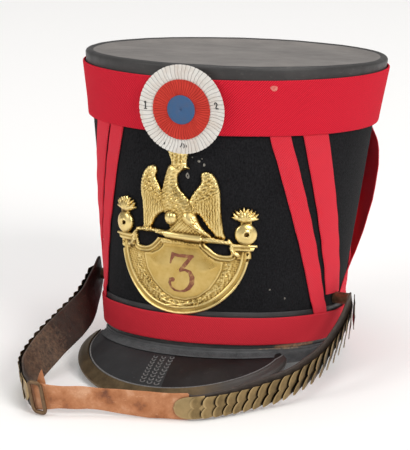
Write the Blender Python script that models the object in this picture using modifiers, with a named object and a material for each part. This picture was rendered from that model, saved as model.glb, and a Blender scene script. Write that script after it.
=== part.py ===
# Infantry shako: felt crown, leather top and peak, red bands and tapes,
# pleated cockade, brass plate and a chin strap of brass scales

import math

import bpy
import bmesh
from mathutils import Matrix, Vector

mm = 0.001
clearance = 0.3 * mm
round_steps = 60
merge_distance = 0.01 * mm

# Felt body. Hat frame: +Z up the crown, origin at the middle of the base oval, front at -Y
base_side = 86.8 * mm
base_front = 95.2 * mm
top_radius = 113.2 * mm
rim_height = 216.1 * mm
rim_slope = math.radians(3.3)
top_shift = 1.2 * mm
felt_wall = 3.0 * mm
felt_gap = 2.4 * mm

# Leather top
top_overhang = 2.3 * mm
top_outer = top_radius + top_overhang
top_leather = 2.2 * mm
top_dish = 3.0 * mm
top_roll = 14.0 * mm
skirt_depth = 14.0 * mm
skirt_taper = 0.8 * mm

# Red bands and tapes
band_thickness = 1.4 * mm
band_top_front = 199.4 * mm
band_width_front = 40.0 * mm
band_top_slope = math.radians(4.5)
band_bottom_slope = math.radians(3.6)
tape_thickness = 1.0 * mm
tape_tuck = 4.0 * mm
tape_climb = 6.0 * mm
tape_rest = 2.0 * mm
tape_end_rise = 12.0 * mm
tape_stations = 14
narrow_tape = 15.5 * mm
wide_tape = 22.0 * mm
loose_bow = 11.0 * mm

# Base leather and base band
leather_thickness = 1.0 * mm
leather_top = 30.0 * mm
leather_bottom = -3.0 * mm
base_band_bottom = 5.7 * mm
base_band_top = 26.2 * mm
base_band_thickness = 1.0 * mm

# Peak and its brass binding
peak_reach = 39.0 * mm
peak_drop = 30.6 * mm
peak_leather = 2.0 * mm
peak_arch = 1.6 * mm
peak_half_angle = math.radians(58.0)
peak_turn = math.radians(-6.5)
peak_top = -1.0 * mm
peak_side_slope = 0.6
peak_stations = 24
peak_end_share = 0.965
rim_width = 9.5 * mm
rim_under = 5.0 * mm
rim_metal = 0.9 * mm
rim_lip = 1.5 * mm
rim_bead = 0.6 * mm

# Brass plate, in its own flat frame: x across, y up from the hat's base plane
plate_roll = math.radians(-0.53)
plate_shift = -1.25 * mm
plate_sheet = 1.1 * mm
plate_bottom = 26.4 * mm
shield_radius = 52.2 * mm
shield_rise = 3.4 * mm
shield_top = plate_bottom + shield_radius + shield_rise
shield_rim = 3.0 * mm
field_inset = 20.2 * mm
field_lift = 12.0 * mm
cut_inset = 23.6 * mm
cut_centre = shield_radius - cut_inset
cut_half_width = 7.9 * mm
cut_depth = 7.5 * mm
capital_inset = 3.2 * mm
capital_centre = shield_radius - capital_inset
capital_half_width = 8.6 * mm
capital_height = 7.0 * mm
ball_radius = 8.4 * mm
ball_lift = 7.0 * mm
ball_height = shield_top + ball_lift
flame_height = 19.5 * mm
eagle_lift = 1.0 * mm
eagle_bottom = shield_top + eagle_lift
eagle_height = 59.0 * mm
eagle_half_span = 33.5 * mm
bolt_inset = 15.4 * mm
bolt_half_length = shield_radius - bolt_inset
relief_low = 2.0 * mm
relief_mid = 3.0 * mm
relief_high = 4.2 * mm
sink_step = 0.05 * mm
bolt_thickness = 5.6 * mm
flame_spread = 1.28
plate_climb = 12.0 * mm
plate_strip = 11.0 * mm

# Cockade, just above the plate
cockade_radius = 32.4 * mm
cockade_red = 21.8 * mm
cockade_blue = 10.6 * mm
cockade_thickness = 1.8 * mm
cockade_bead = 0.7 * mm
cockade_gap = 2.9 * mm
cockade_shift = 0.93 * mm
cockade_height = eagle_bottom + eagle_height + cockade_radius + cockade_gap

# Chin strap
strap_leather = 1.8 * mm
front_strap_width = 19.5 * mm
scale_count = 20
scale_lift_top = 3.0 * mm
scale_lift_tip = 1.9 * mm
scale_root = 0.9 * mm
scale_lobe = 2.4 * mm
scale_skew = 7.0 * mm
scale_cover = 0.96
scale_neck = 0.9
scale_crown = 0.12
scale_lift_fade = 0.6
tongue_pitches = 1.6
tongue_overlap = 0.1
stud_radius = 4.5 * mm
stud_angle = math.radians(84.0)
stud_height = 35.6 * mm
buckle_length = 14.0 * mm
buckle_overhang = 2.3 * mm
buckle_wire = 2.2 * mm
tip_length = 17.0 * mm
tip_width = 8.0 * mm
tip_leather = 1.1 * mm
tip_base_rise = 2.0 * mm
tip_shift = 2.8 * mm
strap_station = 4.5 * mm
route_step = 4.0 * mm
stud_sides = 12

# Route of the whole chin strap from the right stud round the front to the left one, at half the
# strap's width: x as a share of the base's half width, y of its half length, and the rise as a
# share of the way from the height of the strap on the floor to the height of the studs
strap_route = [
    (1.205, -0.084, 1.070), (1.214, -0.210, 0.930), (1.207, -0.361, 0.759), (1.185, -0.559, 0.595),
    (1.141, -0.769, 0.441), (1.058, -0.951, 0.301), (0.946, -1.123, 0.184), (0.824, -1.263, 0.104),
    (0.646, -1.475, 0.039), (0.461, -1.645, 0.015), (0.276, -1.718, 0.011), (-0.006, -1.770, 0.015),
    (-0.384, -1.833, 0.034), (-0.645, -1.917, 0.060), (-0.845, -1.932, 0.074), (-0.985, -1.815, 0.080),
    (-1.090, -1.620, 0.095), (-1.158, -1.429, 0.150), (-1.170, -1.239, 0.256), (-1.146, -1.019, 0.413),
    (-1.110, -0.735, 0.563), (-1.090, -0.483, 0.684), (-1.124, -0.210, 0.848), (-1.147, -0.074, 0.977),
]
# Lower and upper edge of the leather and of the scales, as shares of half the front strap's width,
# after the place as a share of the route's length
leather_edges = [
    (0.0, -1.18, 0.67), (0.12, -1.12, 0.51), (0.21, -1.07, 0.62), (0.25, -1.04, 0.82),
    (0.29, -1.02, 0.92), (0.376, -0.98, 0.82), (0.3815, -1.0, 1.0), (0.60, -1.0, 1.0),
    (0.66, -1.13, 0.97), (0.72, -1.44, 1.01), (0.86, -1.54, 1.15), (0.93, -1.33, 1.23),
    (1.0, -1.18, 1.74),
]
scale_edges = [
    (0.0, -1.49, 0.05), (0.10, -1.46, 0.08), (0.17, -1.41, 0.26), (0.21, -1.38, 0.33),
    (0.25, -1.23, 0.49), (0.29, -1.05, 0.57), (0.33, -0.95, 0.67), (0.3753, -0.88, 0.74),
    (0.645, -0.82, 0.87), (0.70, -1.03, 1.13), (0.80, -1.23, 1.28), (1.0, -1.23, 1.33),
]
# How far the strap's upper edge leans outward, in degrees
strap_lean = [
    (0.0, 0.0), (0.60, 0.0), (0.66, 10.0), (0.72, 28.0), (0.78, 38.0), (0.86, 36.0), (0.93, 18.0),
    (1.0, 0.0),
]
# Where the pieces of the strap end, as shares of the route's length
right_scales_end = 0.3753
right_backing_end = 0.3815
front_end = 0.6180
left_scales_start = 0.6450
buckle_place = 0.6010


def clear_scene():
    for item in list(bpy.data.objects):
        bpy.data.objects.remove(item, do_unlink=True)


def make_material(name, colour, roughness, metallic=0.0):
    material = bpy.data.materials.new(name)
    material.use_nodes = True
    shader = material.node_tree.nodes["Principled BSDF"]
    shader.inputs["Base Color"].default_value = (*colour, 1.0)
    shader.inputs["Roughness"].default_value = roughness
    shader.inputs["Metallic"].default_value = metallic
    return material


def new_collection(name):
    collection = bpy.data.collections.new(name)
    bpy.context.scene.collection.children.link(collection)
    return collection


def new_object(name, mesh, material, collection, parent):
    item = bpy.data.objects.new(name, mesh)
    collection.objects.link(item)
    item.parent = parent
    mesh.materials.clear()
    mesh.materials.append(material)
    mesh.shade_smooth()
    mesh.set_sharp_from_angle(angle=math.radians(30))
    return item


def loft_mesh(name, sections, closed):
    # One closed skin over sections with the same number of points, capped at both ends if open
    build = bmesh.new()
    rows = [[build.verts.new(point) for point in section] for section in sections]
    pairs = list(zip(rows, rows[1:]))
    if closed:
        pairs.append((rows[-1], rows[0]))
    for first, second in pairs:
        for i in range(len(first)):
            j = (i + 1) % len(first)
            build.faces.new((first[i], first[j], second[j], second[i]))
    if not closed:
        build.faces.new(rows[0])
        build.faces.new(reversed(rows[-1]))
    bmesh.ops.recalc_face_normals(build, faces=build.faces)
    if build.calc_volume(signed=True) < 0.0:
        bmesh.ops.reverse_faces(build, faces=build.faces)
    mesh = bpy.data.meshes.new(name)
    build.to_mesh(mesh)
    build.free()
    return mesh


def blend(a, b, share):
    return a + (b - a) * share


def smooth_step(value):
    value = min(max(value, 0.0), 1.0)
    return value * value * (3.0 - 2.0 * value)


def around():
    return [2.0 * math.pi * i / round_steps for i in range(round_steps)]


def felt_top(angle):
    # Height of the felt's upper edge, just under the leather top
    back = -top_radius * math.cos(angle)
    return rim_height + back * math.tan(rim_slope) - top_leather - felt_gap


def felt_point(angle, height, out=0.0):
    # Point at this height and distance outside the felt; angle 0 is the front, 90 degrees is +X
    share = height / felt_top(angle)
    side = blend(base_side, top_radius, share) + out
    front = blend(base_front, top_radius, share) + out
    return Vector((side * math.sin(angle), top_shift * share - front * math.cos(angle), height))


def felt_angle(length, height):
    # Angle reached by this signed arc length along the felt from the front, at this height
    step = math.radians(1.5) * (1.0 if length >= 0.0 else -1.0)
    angle = 0.0
    walked = 0.0
    last = felt_point(0.0, height)
    while True:
        point = felt_point(angle + step, height)
        piece = (point - last).length
        if walked + piece >= abs(length):
            return angle + step * (abs(length) - walked) / piece
        walked += piece
        angle += step
        last = point


def wall_ring(name, heights, outs):
    # A wall round the felt: heights(angle) gives its lower and upper edge, outs its two faces
    sections = []
    for angle in around():
        low, high = heights(angle)
        outer, inner = outs
        sections.append([
            felt_point(angle, low, outer), felt_point(angle, high, outer),
            felt_point(angle, high, inner), felt_point(angle, low, inner),
        ])
    return loft_mesh(name, sections, True)


def crown_shell_mesh():
    def heights(angle):
        return 0.0, felt_top(angle)
    return wall_ring("crown_shell", heights, (0.0, -felt_wall))


def turned_object(name, profile, material, collection, parent):
    # A profile of radius and height, from the outer top down and back to the axis, turned about Z
    mesh = bpy.data.meshes.new(name)
    edges = [(i, i + 1) for i in range(len(profile) - 1)]
    mesh.from_pydata([(r, 0.0, z) for r, z in profile], edges, [])
    item = new_object(name, mesh, material, collection, parent)
    screw = item.modifiers.new("Turn", "SCREW")
    screw.axis = "Z"
    screw.angle = 2.0 * math.pi
    screw.steps = round_steps
    screw.render_steps = round_steps
    screw.use_merge_vertices = True
    screw.merge_threshold = merge_distance
    return item


# Rolled edge of the top: inward from the rim as a share of the roll's width, down as one of the dish
roll_shares = [(1.0, 1.0), (0.36, 0.4), (0.16, 0.0), (0.04, 0.2), (0.0, 0.8)]


def crown_top_mesh():
    # Rings from the dished middle over the rolled edge, down the skirt and back underneath
    skirt_in = top_radius + 2.0 * clearance
    profile = [(top_outer - inward * top_roll, -down * top_dish) for inward, down in roll_shares]
    profile += [
        (top_outer - skirt_taper, -skirt_depth),
        (skirt_in - skirt_taper, -skirt_depth),
        (skirt_in, -top_leather - 0.5 * felt_gap),
        (top_outer - top_roll, -top_dish - top_leather),
    ]
    rings = []
    for radius, height in profile:
        ring = []
        for angle in around():
            back = -radius * math.cos(angle)
            rise = rim_height + back * math.tan(rim_slope) + height
            ring.append(Vector((radius * math.sin(angle), top_shift + back, rise)))
        rings.append(ring)
    return loft_mesh("crown_top", rings, False)


def band_edges(angle):
    # Lower and upper height of the top band
    back = top_radius * (1.0 - math.cos(angle))
    high = band_top_front + back * math.tan(band_top_slope)
    low = band_top_front - band_width_front + back * math.tan(band_bottom_slope)
    return low, high


def band_offsets():
    inner_low = tape_thickness + 2.0 * clearance
    inner_high = top_outer - top_radius + 2.0 * clearance
    return inner_low + band_thickness, inner_high + band_thickness, inner_high, inner_low


def band_section(angle):
    # Outer edge below and above, then inner edge above and below; the upper edge clears the skirt
    low, high = band_edges(angle)
    out_low, out_high, in_high, in_low = band_offsets()
    rise = felt_top(angle)
    lean = (top_radius - base_side) * (high - rise) / rise
    return [
        felt_point(angle, low, out_low), felt_point(angle, high, out_high - lean),
        felt_point(angle, high, in_high - lean), felt_point(angle, low, in_low),
    ]


def top_band_mesh():
    return loft_mesh("top_band", [band_section(angle) for angle in around()], True)


def base_leather_mesh():
    inner = clearance
    outer = inner + leather_thickness

    def heights(angle):
        return leather_bottom, leather_top
    return wall_ring("base_leather", heights, (outer, inner))


def base_band_mesh():
    inner = clearance * 3.0 + leather_thickness + tape_thickness
    outer = inner + base_band_thickness

    def heights(angle):
        return base_band_bottom, base_band_top
    return wall_ring("base_band", heights, (outer, inner))


# Peak: stations from one end to the other, each with its inner and outer edge

def peak_station(share):
    # Inner top point, outer top point and upward normal of the leather at a share of -1 to 1
    share *= peak_end_share
    swing = share * peak_half_angle
    angle = swing + peak_turn
    inner = felt_point(angle, peak_top, clearance * 2.0 + leather_thickness)
    side, front = base_side, base_front
    outward = Vector((math.sin(angle) * front, -math.cos(angle) * side, 0.0)).normalized()
    fall = math.cos(share * math.pi / 2.0)
    reach = peak_reach * math.sqrt(fall)
    drop = reach * peak_drop / peak_reach * (1.0 - (1.0 - peak_side_slope) * (1.0 - fall))
    outer = inner + outward * reach - Vector((0.0, 0.0, drop))
    along = Vector((math.cos(angle), math.sin(angle), 0.0))
    normal = along.cross(outer - inner).normalized()
    if normal.z < 0.0:
        normal = -normal
    return inner, outer, normal


def peak_shares():
    # Stations lie closer together near the ends, where the outline turns fast
    turns = [blend(-0.5, 0.5, i / peak_stations) * math.pi for i in range(peak_stations + 1)]
    return [math.sin(turn) for turn in turns]


def peak_mesh():
    sections = []
    for share in peak_shares():
        inner, outer, normal = peak_station(share)
        middle = blend(inner, outer, 0.5)
        arch = peak_arch * (outer - inner).length / peak_reach
        down = Vector((0.0, 0.0, -peak_leather / normal.z))
        sections.append([
            inner, middle + normal * arch, outer, outer - normal * peak_leather,
            middle + normal * (arch - peak_leather), inner + down,
        ])
    return loft_mesh("peak", sections, False)


def rim_section(share):
    inner, outer, normal = peak_station(share)
    slope = (outer - inner).normalized()
    length = (outer - inner).length
    top_flange = min(rim_width, 0.5 * length)
    under_flange = min(rim_under, 0.4 * length)
    arch = peak_arch * length / peak_reach
    lift = 2.0 * arch * top_flange / length
    under = peak_leather + clearance
    profile = [
        (-top_flange, clearance + lift), (-top_flange, clearance + lift + rim_metal),
        (-rim_lip, clearance + rim_metal + rim_bead), (clearance + rim_metal, clearance),
        (clearance + rim_metal + rim_bead, -0.5 * peak_leather),
        (clearance + rim_metal, -under), (-0.6 * rim_lip, -under - rim_metal),
        (-under_flange, -under - rim_metal), (-under_flange, -under),
        (clearance, -under), (clearance, clearance),
    ]
    return [outer + slope * s + normal * n for s, n in profile]


def peak_rim_mesh():
    return loft_mesh("peak_rim", [rim_section(share) for share in peak_shares()], False)


def resting_pose():
    # Tilt and height that bring the peak's binding and the back of the base leather to the floor
    front = [point for share in peak_shares() for point in rim_section(share)]
    outer = clearance + leather_thickness
    back = [felt_point(angle, leather_bottom, outer) for angle in around()]
    tilt = 0.0
    for _ in range(12):
        turn = Matrix.Rotation(-tilt, 4, "X")
        low_front = min((turn @ point).z for point in front)
        low_back = min((turn @ point).z for point in back)
        tilt += (low_back - low_front) / (base_front * 2.0 + peak_reach)
    turn = Matrix.Rotation(-tilt, 4, "X")
    return tilt, -min((turn @ point).z for point in front + back)


# Tapes: strips on the felt between a place on the band and a place at the base

# Front tape, its twin behind the middle of the side, side, arc length from the front at the top as
# a share of the top radius and at the base of the base's half length, width, tucked under the base
# band or not, and how far the rear one bows out
tapes = [
    ("tape_right_front", "tape_right_back", 1, 0.632, 1.208, narrow_tape, True, 0.0),
    ("tape_right_mid", "tape_right_loose", 1, 0.897, 1.450, wide_tape, False, loose_bow),
    ("tape_left_front", "tape_left_back", -1, 0.543, 1.008, narrow_tape, True, 0.0),
    ("tape_left_mid", "tape_left_rear", -1, 0.733, 1.271, wide_tape, False, 0.0),
]


def mirrored_angle(angle):
    # The same place behind the middle of the side
    return math.copysign(math.pi, angle) - angle


def tape_offset(height):
    # The tape lies on the felt and climbs over the edge of the base leather
    on_leather = leather_thickness + clearance
    climb = 1.0 - smooth_step((height - leather_top - tape_rest) / tape_climb)
    return clearance + on_leather * climb


def tape_mesh(name, side, top_share, base_share, width, tucked, mirrored, bow):
    top_arc = side * top_share * top_radius
    base_arc = side * base_share * base_front
    band_low = band_edges(0.0)[0]
    top_angle = felt_angle(top_arc, band_low)
    half = 0.5 * width / math.cos(math.atan2(base_arc - top_arc, band_low - leather_top))
    high = band_edges(mirrored_angle(top_angle) if mirrored else top_angle)[0] + tape_tuck
    low = base_band_top - tape_tuck if tucked else leather_top + tape_end_rise
    bow_top = high - 2.5 * tape_tuck
    sections = []
    for i in range(tape_stations + 1):
        height = blend(high, low, i / tape_stations)
        centre = blend(top_arc, base_arc, (band_low - height) / (band_low - leather_top))
        angles = [felt_angle(centre - side * half, height), felt_angle(centre + side * half, height)]
        if mirrored:
            angles = [mirrored_angle(angle) for angle in angles]
        hang = min(max(0.0, (bow_top - height) / (bow_top - low)), 1.0)
        inner = tape_offset(height) + bow * math.sin(math.pi * hang) ** 1.4
        outer = inner + tape_thickness
        middle = 0.5 * (angles[0] + angles[1])
        sections.append([
            felt_point(angles[0], height, inner), felt_point(middle, height, inner),
            felt_point(angles[1], height, inner), felt_point(angles[1], height, outer),
            felt_point(middle, height, outer), felt_point(angles[0], height, outer),
        ])
    return loft_mesh(name, sections, False)


# Chin strap: a smooth curve through the route, and upright strips along it

def route_knots(stud_level):
    # The route's points, at half the strap's width above the floor where the rise is 0
    low = 0.5 * front_strap_width
    return [
        Vector((x * base_side, y * base_front, blend(low, stud_level, rise)))
        for x, y, rise in strap_route
    ]


def table_row(table, place):
    # The row's numbers at this place, in a straight line between the rows on both sides of it
    for first, second in zip(table, table[1:]):
        if place <= second[0]:
            share = max(0.0, (place - first[0]) / (second[0] - first[0]))
            return [blend(a, b, share) for a, b in zip(first[1:], second[1:])]
    return list(table[-1][1:])


class Route:
    def __init__(self, knots):
        ends = [knots[0] * 2.0 - knots[1]] + knots + [knots[-1] * 2.0 - knots[-2]]
        self.points = []
        for a, b, c, d in zip(ends, ends[1:], ends[2:], ends[3:]):
            for i in range(10):
                t = i / 10.0
                self.points.append(0.5 * (
                    2.0 * b + (c - a) * t + (2.0 * a - 5.0 * b + 4.0 * c - d) * t * t
                    + (3.0 * b - a - 3.0 * c + d) * t ** 3))
        self.points.append(knots[-1])
        self.lengths = [0.0]
        for p, q in zip(self.points, self.points[1:]):
            self.lengths.append(self.lengths[-1] + (q - p).length)
        self.total = self.lengths[-1]

    def at(self, length):
        # Point at this distance along the route
        length = min(max(length, 0.0), self.total)
        i = 1
        while self.lengths[i] < length and i < len(self.lengths) - 1:
            i += 1
        span = self.lengths[i] - self.lengths[i - 1]
        return self.points[i - 1].lerp(self.points[i], (length - self.lengths[i - 1]) / span)

    def frame(self, length):
        # Point, direction, outward side and the strap's own upward direction
        along = (self.at(length + route_step) - self.at(length - route_step)).normalized()
        outward = Vector((-along.y, along.x, 0.0)).normalized()
        up = along.cross(outward).normalized()
        if up.z < 0.0:
            up = -up
        lean = math.radians(table_row(strap_lean, length / self.total)[0])
        side = outward * math.cos(lean) - up * math.sin(lean)
        rise = up * math.cos(lean) + outward * math.sin(lean)
        return self.at(length), along, side, rise

    def edges(self, table, length):
        # Lower and upper edge there, as distances from the route
        low, high = table_row(table, length / self.total)
        return 0.5 * front_strap_width * low, 0.5 * front_strap_width * high


def strip_mesh(name, route, start, end):
    sections = []
    stations = round(abs(end - start) / strap_station)
    for i in range(stations + 1):
        length = blend(start, end, i / stations)
        point, _, outward, up = route.frame(length)
        low, high = route.edges(leather_edges, length)
        far = point + outward * strap_leather
        sections.append([point + up * low, point + up * high, far + up * high, far + up * low])
    return loft_mesh(name, sections, False)


def scale_rows():
    # Shares across a scale's width; the free edge has two round lobes with a notch between
    return [-1.0, -0.75, -0.5, -0.25, 0.0, 0.25, 0.5, 0.75, 1.0]


def scale_section(route, length, narrow, height, chinward, skew, low):
    # Cross-section whose points slide toward the chin along the lobed edge
    ring = []
    bottom, top = route.edges(scale_edges, length)
    middle = 0.5 * (bottom + top)
    half = 0.5 * narrow * (top - bottom)
    for row in scale_rows():
        lobe = scale_lobe * (1.0 - (2.0 * abs(row) - 1.0) ** 2)
        slide = lobe - skew * 0.5 * (row - 1.0)
        point, _, outward, up = route.frame(length + chinward * slide)
        crest = height * (1.0 - scale_crown * row * row)
        ring.append(point + up * (middle + half * row) + outward * (low + crest))
    for row in (1.0, 0.0, -1.0):
        slide = -skew * 0.5 * (row - 1.0)
        point, _, outward, up = route.frame(length + chinward * slide)
        ring.append(point + up * (middle + half * row) + outward * low)
    return ring


# Tongue of the last scale: share of its length, and width as a share of the last scale's
tongue_shares = [(0.35, 0.86), (0.75, 0.55), (0.95, 0.2)]


def scales_mesh(name, route, stud_end, chin_end):
    # Scales overlap down the strap: each free edge stands over the next scale toward the chin
    chinward = 1.0 if chin_end > stud_end else -1.0
    low = strap_leather + 2.0 * clearance
    pitch = abs(chin_end - stud_end) / scale_count
    sections = []
    for i in range(scale_count):
        share = i / scale_count
        start = stud_end + chinward * pitch * i
        finish = start + chinward * pitch * scale_cover
        lift = blend(scale_lift_top, scale_lift_tip, share ** scale_lift_fade)
        skew = scale_skew * (1.0 - share)
        sections.append(scale_section(route, start, scale_neck, scale_root, chinward, skew, low))
        sections.append(scale_section(route, finish, 1.0, lift, chinward, skew, low))
    # The last scale is a plain tongue
    for share, width_share in tongue_shares:
        length = chin_end + chinward * pitch * (tongue_pitches * share - tongue_overlap)
        sections.append(scale_section(route, length, width_share, scale_root, chinward, 0.0, low))
    return loft_mesh(name, sections, False)


def stud_mesh(name, place, angle, strap_frame):
    # A plain post, square to the felt, that ends just short of the strap's inner face
    seat = place @ felt_point(angle, stud_height)
    normal = (place @ felt_point(angle, stud_height, stud_radius) - seat).normalized()
    point, _, outward, _ = strap_frame
    lean = normal.angle(outward)
    start = seat + normal * 2.0 * clearance
    reach = (point - seat).dot(outward) / normal.dot(outward)
    end = seat + normal * (reach - clearance - stud_radius * math.tan(lean))
    build = bmesh.new()
    bmesh.ops.create_cone(
        build, cap_ends=True, segments=stud_sides, radius1=stud_radius, radius2=stud_radius,
        depth=(end - start).length)
    turn = normal.to_track_quat("Z", "Y").to_matrix().to_4x4()
    spot = Matrix.Translation((start + end) * 0.5) @ turn
    bmesh.ops.transform(build, matrix=spot, verts=build.verts)
    mesh = bpy.data.meshes.new(name)
    build.to_mesh(mesh)
    build.free()
    return mesh


def buckle_mesh(route):
    # A flat rectangular frame on the outer face of the strap
    point, along, outward, up = route.frame(buckle_place * route.total)
    half_long = 0.5 * buckle_length
    half_high = 0.5 * front_strap_width + buckle_overhang
    low = strap_leather + clearance
    corners = [(-1, -1), (1, -1), (1, 1), (-1, 1)]
    sections = []
    for x, y in corners:
        ring = []
        for inset, height in ((0.0, 0.0), (0.0, 1.0), (1.0, 1.0), (1.0, 0.0)):
            s = x * (half_long - inset * buckle_wire)
            t = y * (half_high - inset * buckle_wire)
            ring.append(point + along * s + up * t + outward * (low + height * buckle_wire))
        sections.append(ring)
    return loft_mesh("buckle", sections, True)


# Pointed end of the brown strap: share of its length, and width as a share of the strap end's
tip_shares = [(0.0, 1.0), (0.6, 0.85), (1.0, 0.12)]


def tip_mesh(route):
    # The end is turned up on the inner side of the buckle
    point, along, outward, up = route.frame(buckle_place * route.total + tip_shift)
    base = point - outward * (clearance + 2.0 * tip_leather) + up * tip_base_rise
    back = outward * tip_leather
    sections = []
    for share, width_share in tip_shares:
        centre = base + up * (tip_length * share)
        half = along * (0.5 * tip_width * width_share)
        sections.append([centre - half, centre + half, centre + half + back, centre - half + back])
    return loft_mesh("strap_tip", sections, False)


# Brass plate: flat outlines are raised, joined, cut into upright strips and laid on the felt

def arc_points(centre_x, centre_y, radius_x, radius_y, start, end, count):
    points = []
    for i in range(count + 1):
        angle = math.radians(blend(start, end, i / count))
        points.append((centre_x + radius_x * math.cos(angle), centre_y + radius_y * math.sin(angle)))
    return points


def mirrored_outline(half):
    # A whole outline from its right half, listed from the bottom point up to the top
    return half + [(-x, y) for x, y in reversed(half) if abs(x) > 1e-6]


def outline_object(points, low, high, collection):
    # A flat outline raised from low to high, as a mesh object
    curve = bpy.data.curves.new("outline", "CURVE")
    curve.dimensions = "2D"
    curve.fill_mode = "BOTH"
    curve.extrude = 0.5 * (high - low)
    spline = curve.splines.new("POLY")
    spline.points.add(len(points) - 1)
    for target, (x, y) in zip(spline.points, points):
        target.co = (x, y, 0.0, 1.0)
    spline.use_cyclic_u = True
    item = bpy.data.objects.new("outline", curve)
    collection.objects.link(item)
    bpy.context.view_layer.update()
    depsgraph = bpy.context.evaluated_depsgraph_get()
    mesh = bpy.data.meshes.new_from_object(item.evaluated_get(depsgraph))
    build = bmesh.new()
    build.from_mesh(mesh)
    bmesh.ops.remove_doubles(build, verts=build.verts, dist=merge_distance)
    bmesh.ops.translate(build, verts=build.verts, vec=(0.0, 0.0, 0.5 * (low + high)))
    bmesh.ops.recalc_face_normals(build, faces=build.faces)
    build.to_mesh(mesh)
    build.free()
    bpy.data.objects.remove(item, do_unlink=True)
    solid = bpy.data.objects.new("outline", mesh)
    solid.hide_render = True
    solid.display_type = "WIRE"
    collection.objects.link(solid)
    return solid


def shield_outline():
    centre = plate_bottom + shield_radius
    right = arc_points(0.0, centre, shield_radius, shield_radius, -90.0, -2.0, 12)
    right.append((shield_radius, shield_top))
    right.append((cut_centre + cut_half_width, shield_top))
    right += arc_points(cut_centre, shield_top, cut_half_width, cut_depth, 0.0, -180.0, 6)[1:]
    right.append((0.0, shield_top))
    return mirrored_outline(right)


def rim_ring_outline():
    centre = plate_bottom + shield_radius
    inner = shield_radius - shield_rim
    outer = arc_points(0.0, centre, shield_radius, shield_radius, -180.0, 0.0, 24)
    return outer + arc_points(0.0, centre, inner, inner, 0.0, -180.0, 24)


def field_ring_outline():
    # Raised line round the plain field, which narrows toward its lower point
    wide = shield_radius - field_inset
    middle = shield_top - cut_depth
    tall = middle - plate_bottom - field_lift
    thin = shield_rim * 0.5
    outer = arc_points(0.0, middle, wide, tall, -180.0, 0.0, 16)
    inner = arc_points(0.0, middle, wide - thin, tall - thin, 0.0, -180.0, 16)
    return outer + inner


# Right wing as shares of the eagle's half span and height, from its root round the feathers
wing_shares = [
    (0.05, 0.52), (0.24, 0.58), (0.42, 0.80), (0.56, 0.87), (0.74, 0.84), (0.86, 0.72),
    (0.91, 0.58), (0.93, 0.42), (1.00, 0.24), (0.98, 0.05), (0.80, 0.10), (0.66, 0.20), (0.40, 0.14),
    (0.20, 0.10),
]
# Body, neck, head with its beak to the right, and crown, in the same shares
body_shares = [
    (-0.22, 0.00), (0.18, 0.00), (0.30, 0.18), (0.30, 0.36), (0.16, 0.52), (0.04, 0.66),
    (0.06, 0.78), (0.20, 0.84), (0.14, 0.90), (0.20, 1.00), (-0.28, 1.00), (-0.22, 0.90),
    (-0.34, 0.80), (-0.42, 0.64), (-0.44, 0.44), (-0.36, 0.18),
]
# One flame of a grenade, as shares of its half width and height
flame_shares = [
    (-0.45, 0.0), (0.45, 0.0), (0.55, 0.30), (1.0, 0.62), (0.55, 0.78), (0.45, 0.95), (0.15, 0.85),
    (0.0, 1.0), (-0.15, 0.85), (-0.45, 0.95), (-0.55, 0.78), (-1.0, 0.62), (-0.55, 0.30),
]


def eagle_points(shares, flip=1.0):
    points = [(flip * x * eagle_half_span, eagle_bottom + y * eagle_height) for x, y in shares]
    return points if flip > 0.0 else points[::-1]


def box_outline(left, right, bottom, top):
    return [(left, bottom), (right, bottom), (right, top), (left, top)]


def grenade_shapes(side):
    # Block, ball and flame over one end of the shield's flat top, each with its height
    x = side * capital_centre
    bottom = shield_top - capital_height
    block = box_outline(x - capital_half_width, x + capital_half_width, bottom, shield_top + relief_low)
    ball = arc_points(x, ball_height, ball_radius, ball_radius, 0.0, 360.0, 14)[:-1]
    foot = ball_height + 0.86 * ball_radius
    wide = flame_spread * ball_radius
    tall = flame_height - 0.6 * ball_radius
    flame = [(x + wide * across, foot + tall * up) for across, up in flame_shares]
    return [(block, relief_low), (ball, relief_high), (flame, relief_mid)]


def join_solids(first, others):
    for other in others:
        join = first.modifiers.new("Join", "BOOLEAN")
        join.operation = "UNION"
        join.solver = "EXACT"
        join.object = other
    bpy.context.view_layer.update()
    depsgraph = bpy.context.evaluated_depsgraph_get()
    return bpy.data.meshes.new_from_object(first.evaluated_get(depsgraph))


def lay_on_felt(mesh):
    # Strips let the flat plate follow the crown; x is arc length, y height and z distance out
    build = bmesh.new()
    build.from_mesh(mesh)
    reach = capital_centre + flame_spread * ball_radius
    count = int(reach / plate_strip)
    for i in range(-count, count + 1):
        geometry = list(build.verts) + list(build.edges) + list(build.faces)
        bmesh.ops.bisect_plane(
            build, geom=geometry, dist=merge_distance, plane_co=(i * plate_strip, 0.0, 0.0),
            plane_no=(1.0, 0.0, 0.0))
    bmesh.ops.triangulate(build, faces=build.faces)
    for vertex in build.verts:
        x, y, z = vertex.co
        arc = x + plate_shift - (y - shield_top) * math.tan(plate_roll)
        height = y + x * math.tan(plate_roll)
        vertex.co = felt_point(felt_angle(arc, height), height, plate_out(height) + z)
    bmesh.ops.remove_doubles(build, verts=build.verts, dist=merge_distance)
    bmesh.ops.dissolve_degenerate(build, dist=merge_distance, edges=build.edges)
    bmesh.ops.triangulate(build, faces=build.faces)
    bmesh.ops.recalc_face_normals(build, faces=build.faces)
    result = bpy.data.meshes.new("plate")
    build.to_mesh(result)
    build.free()
    return result


def plate_out(height):
    # The plate's back clears the felt, and its foot clears the leather strip
    climb = 1.0 - smooth_step((height - leather_top) / plate_climb)
    return clearance + (leather_thickness + clearance) * climb


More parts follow.
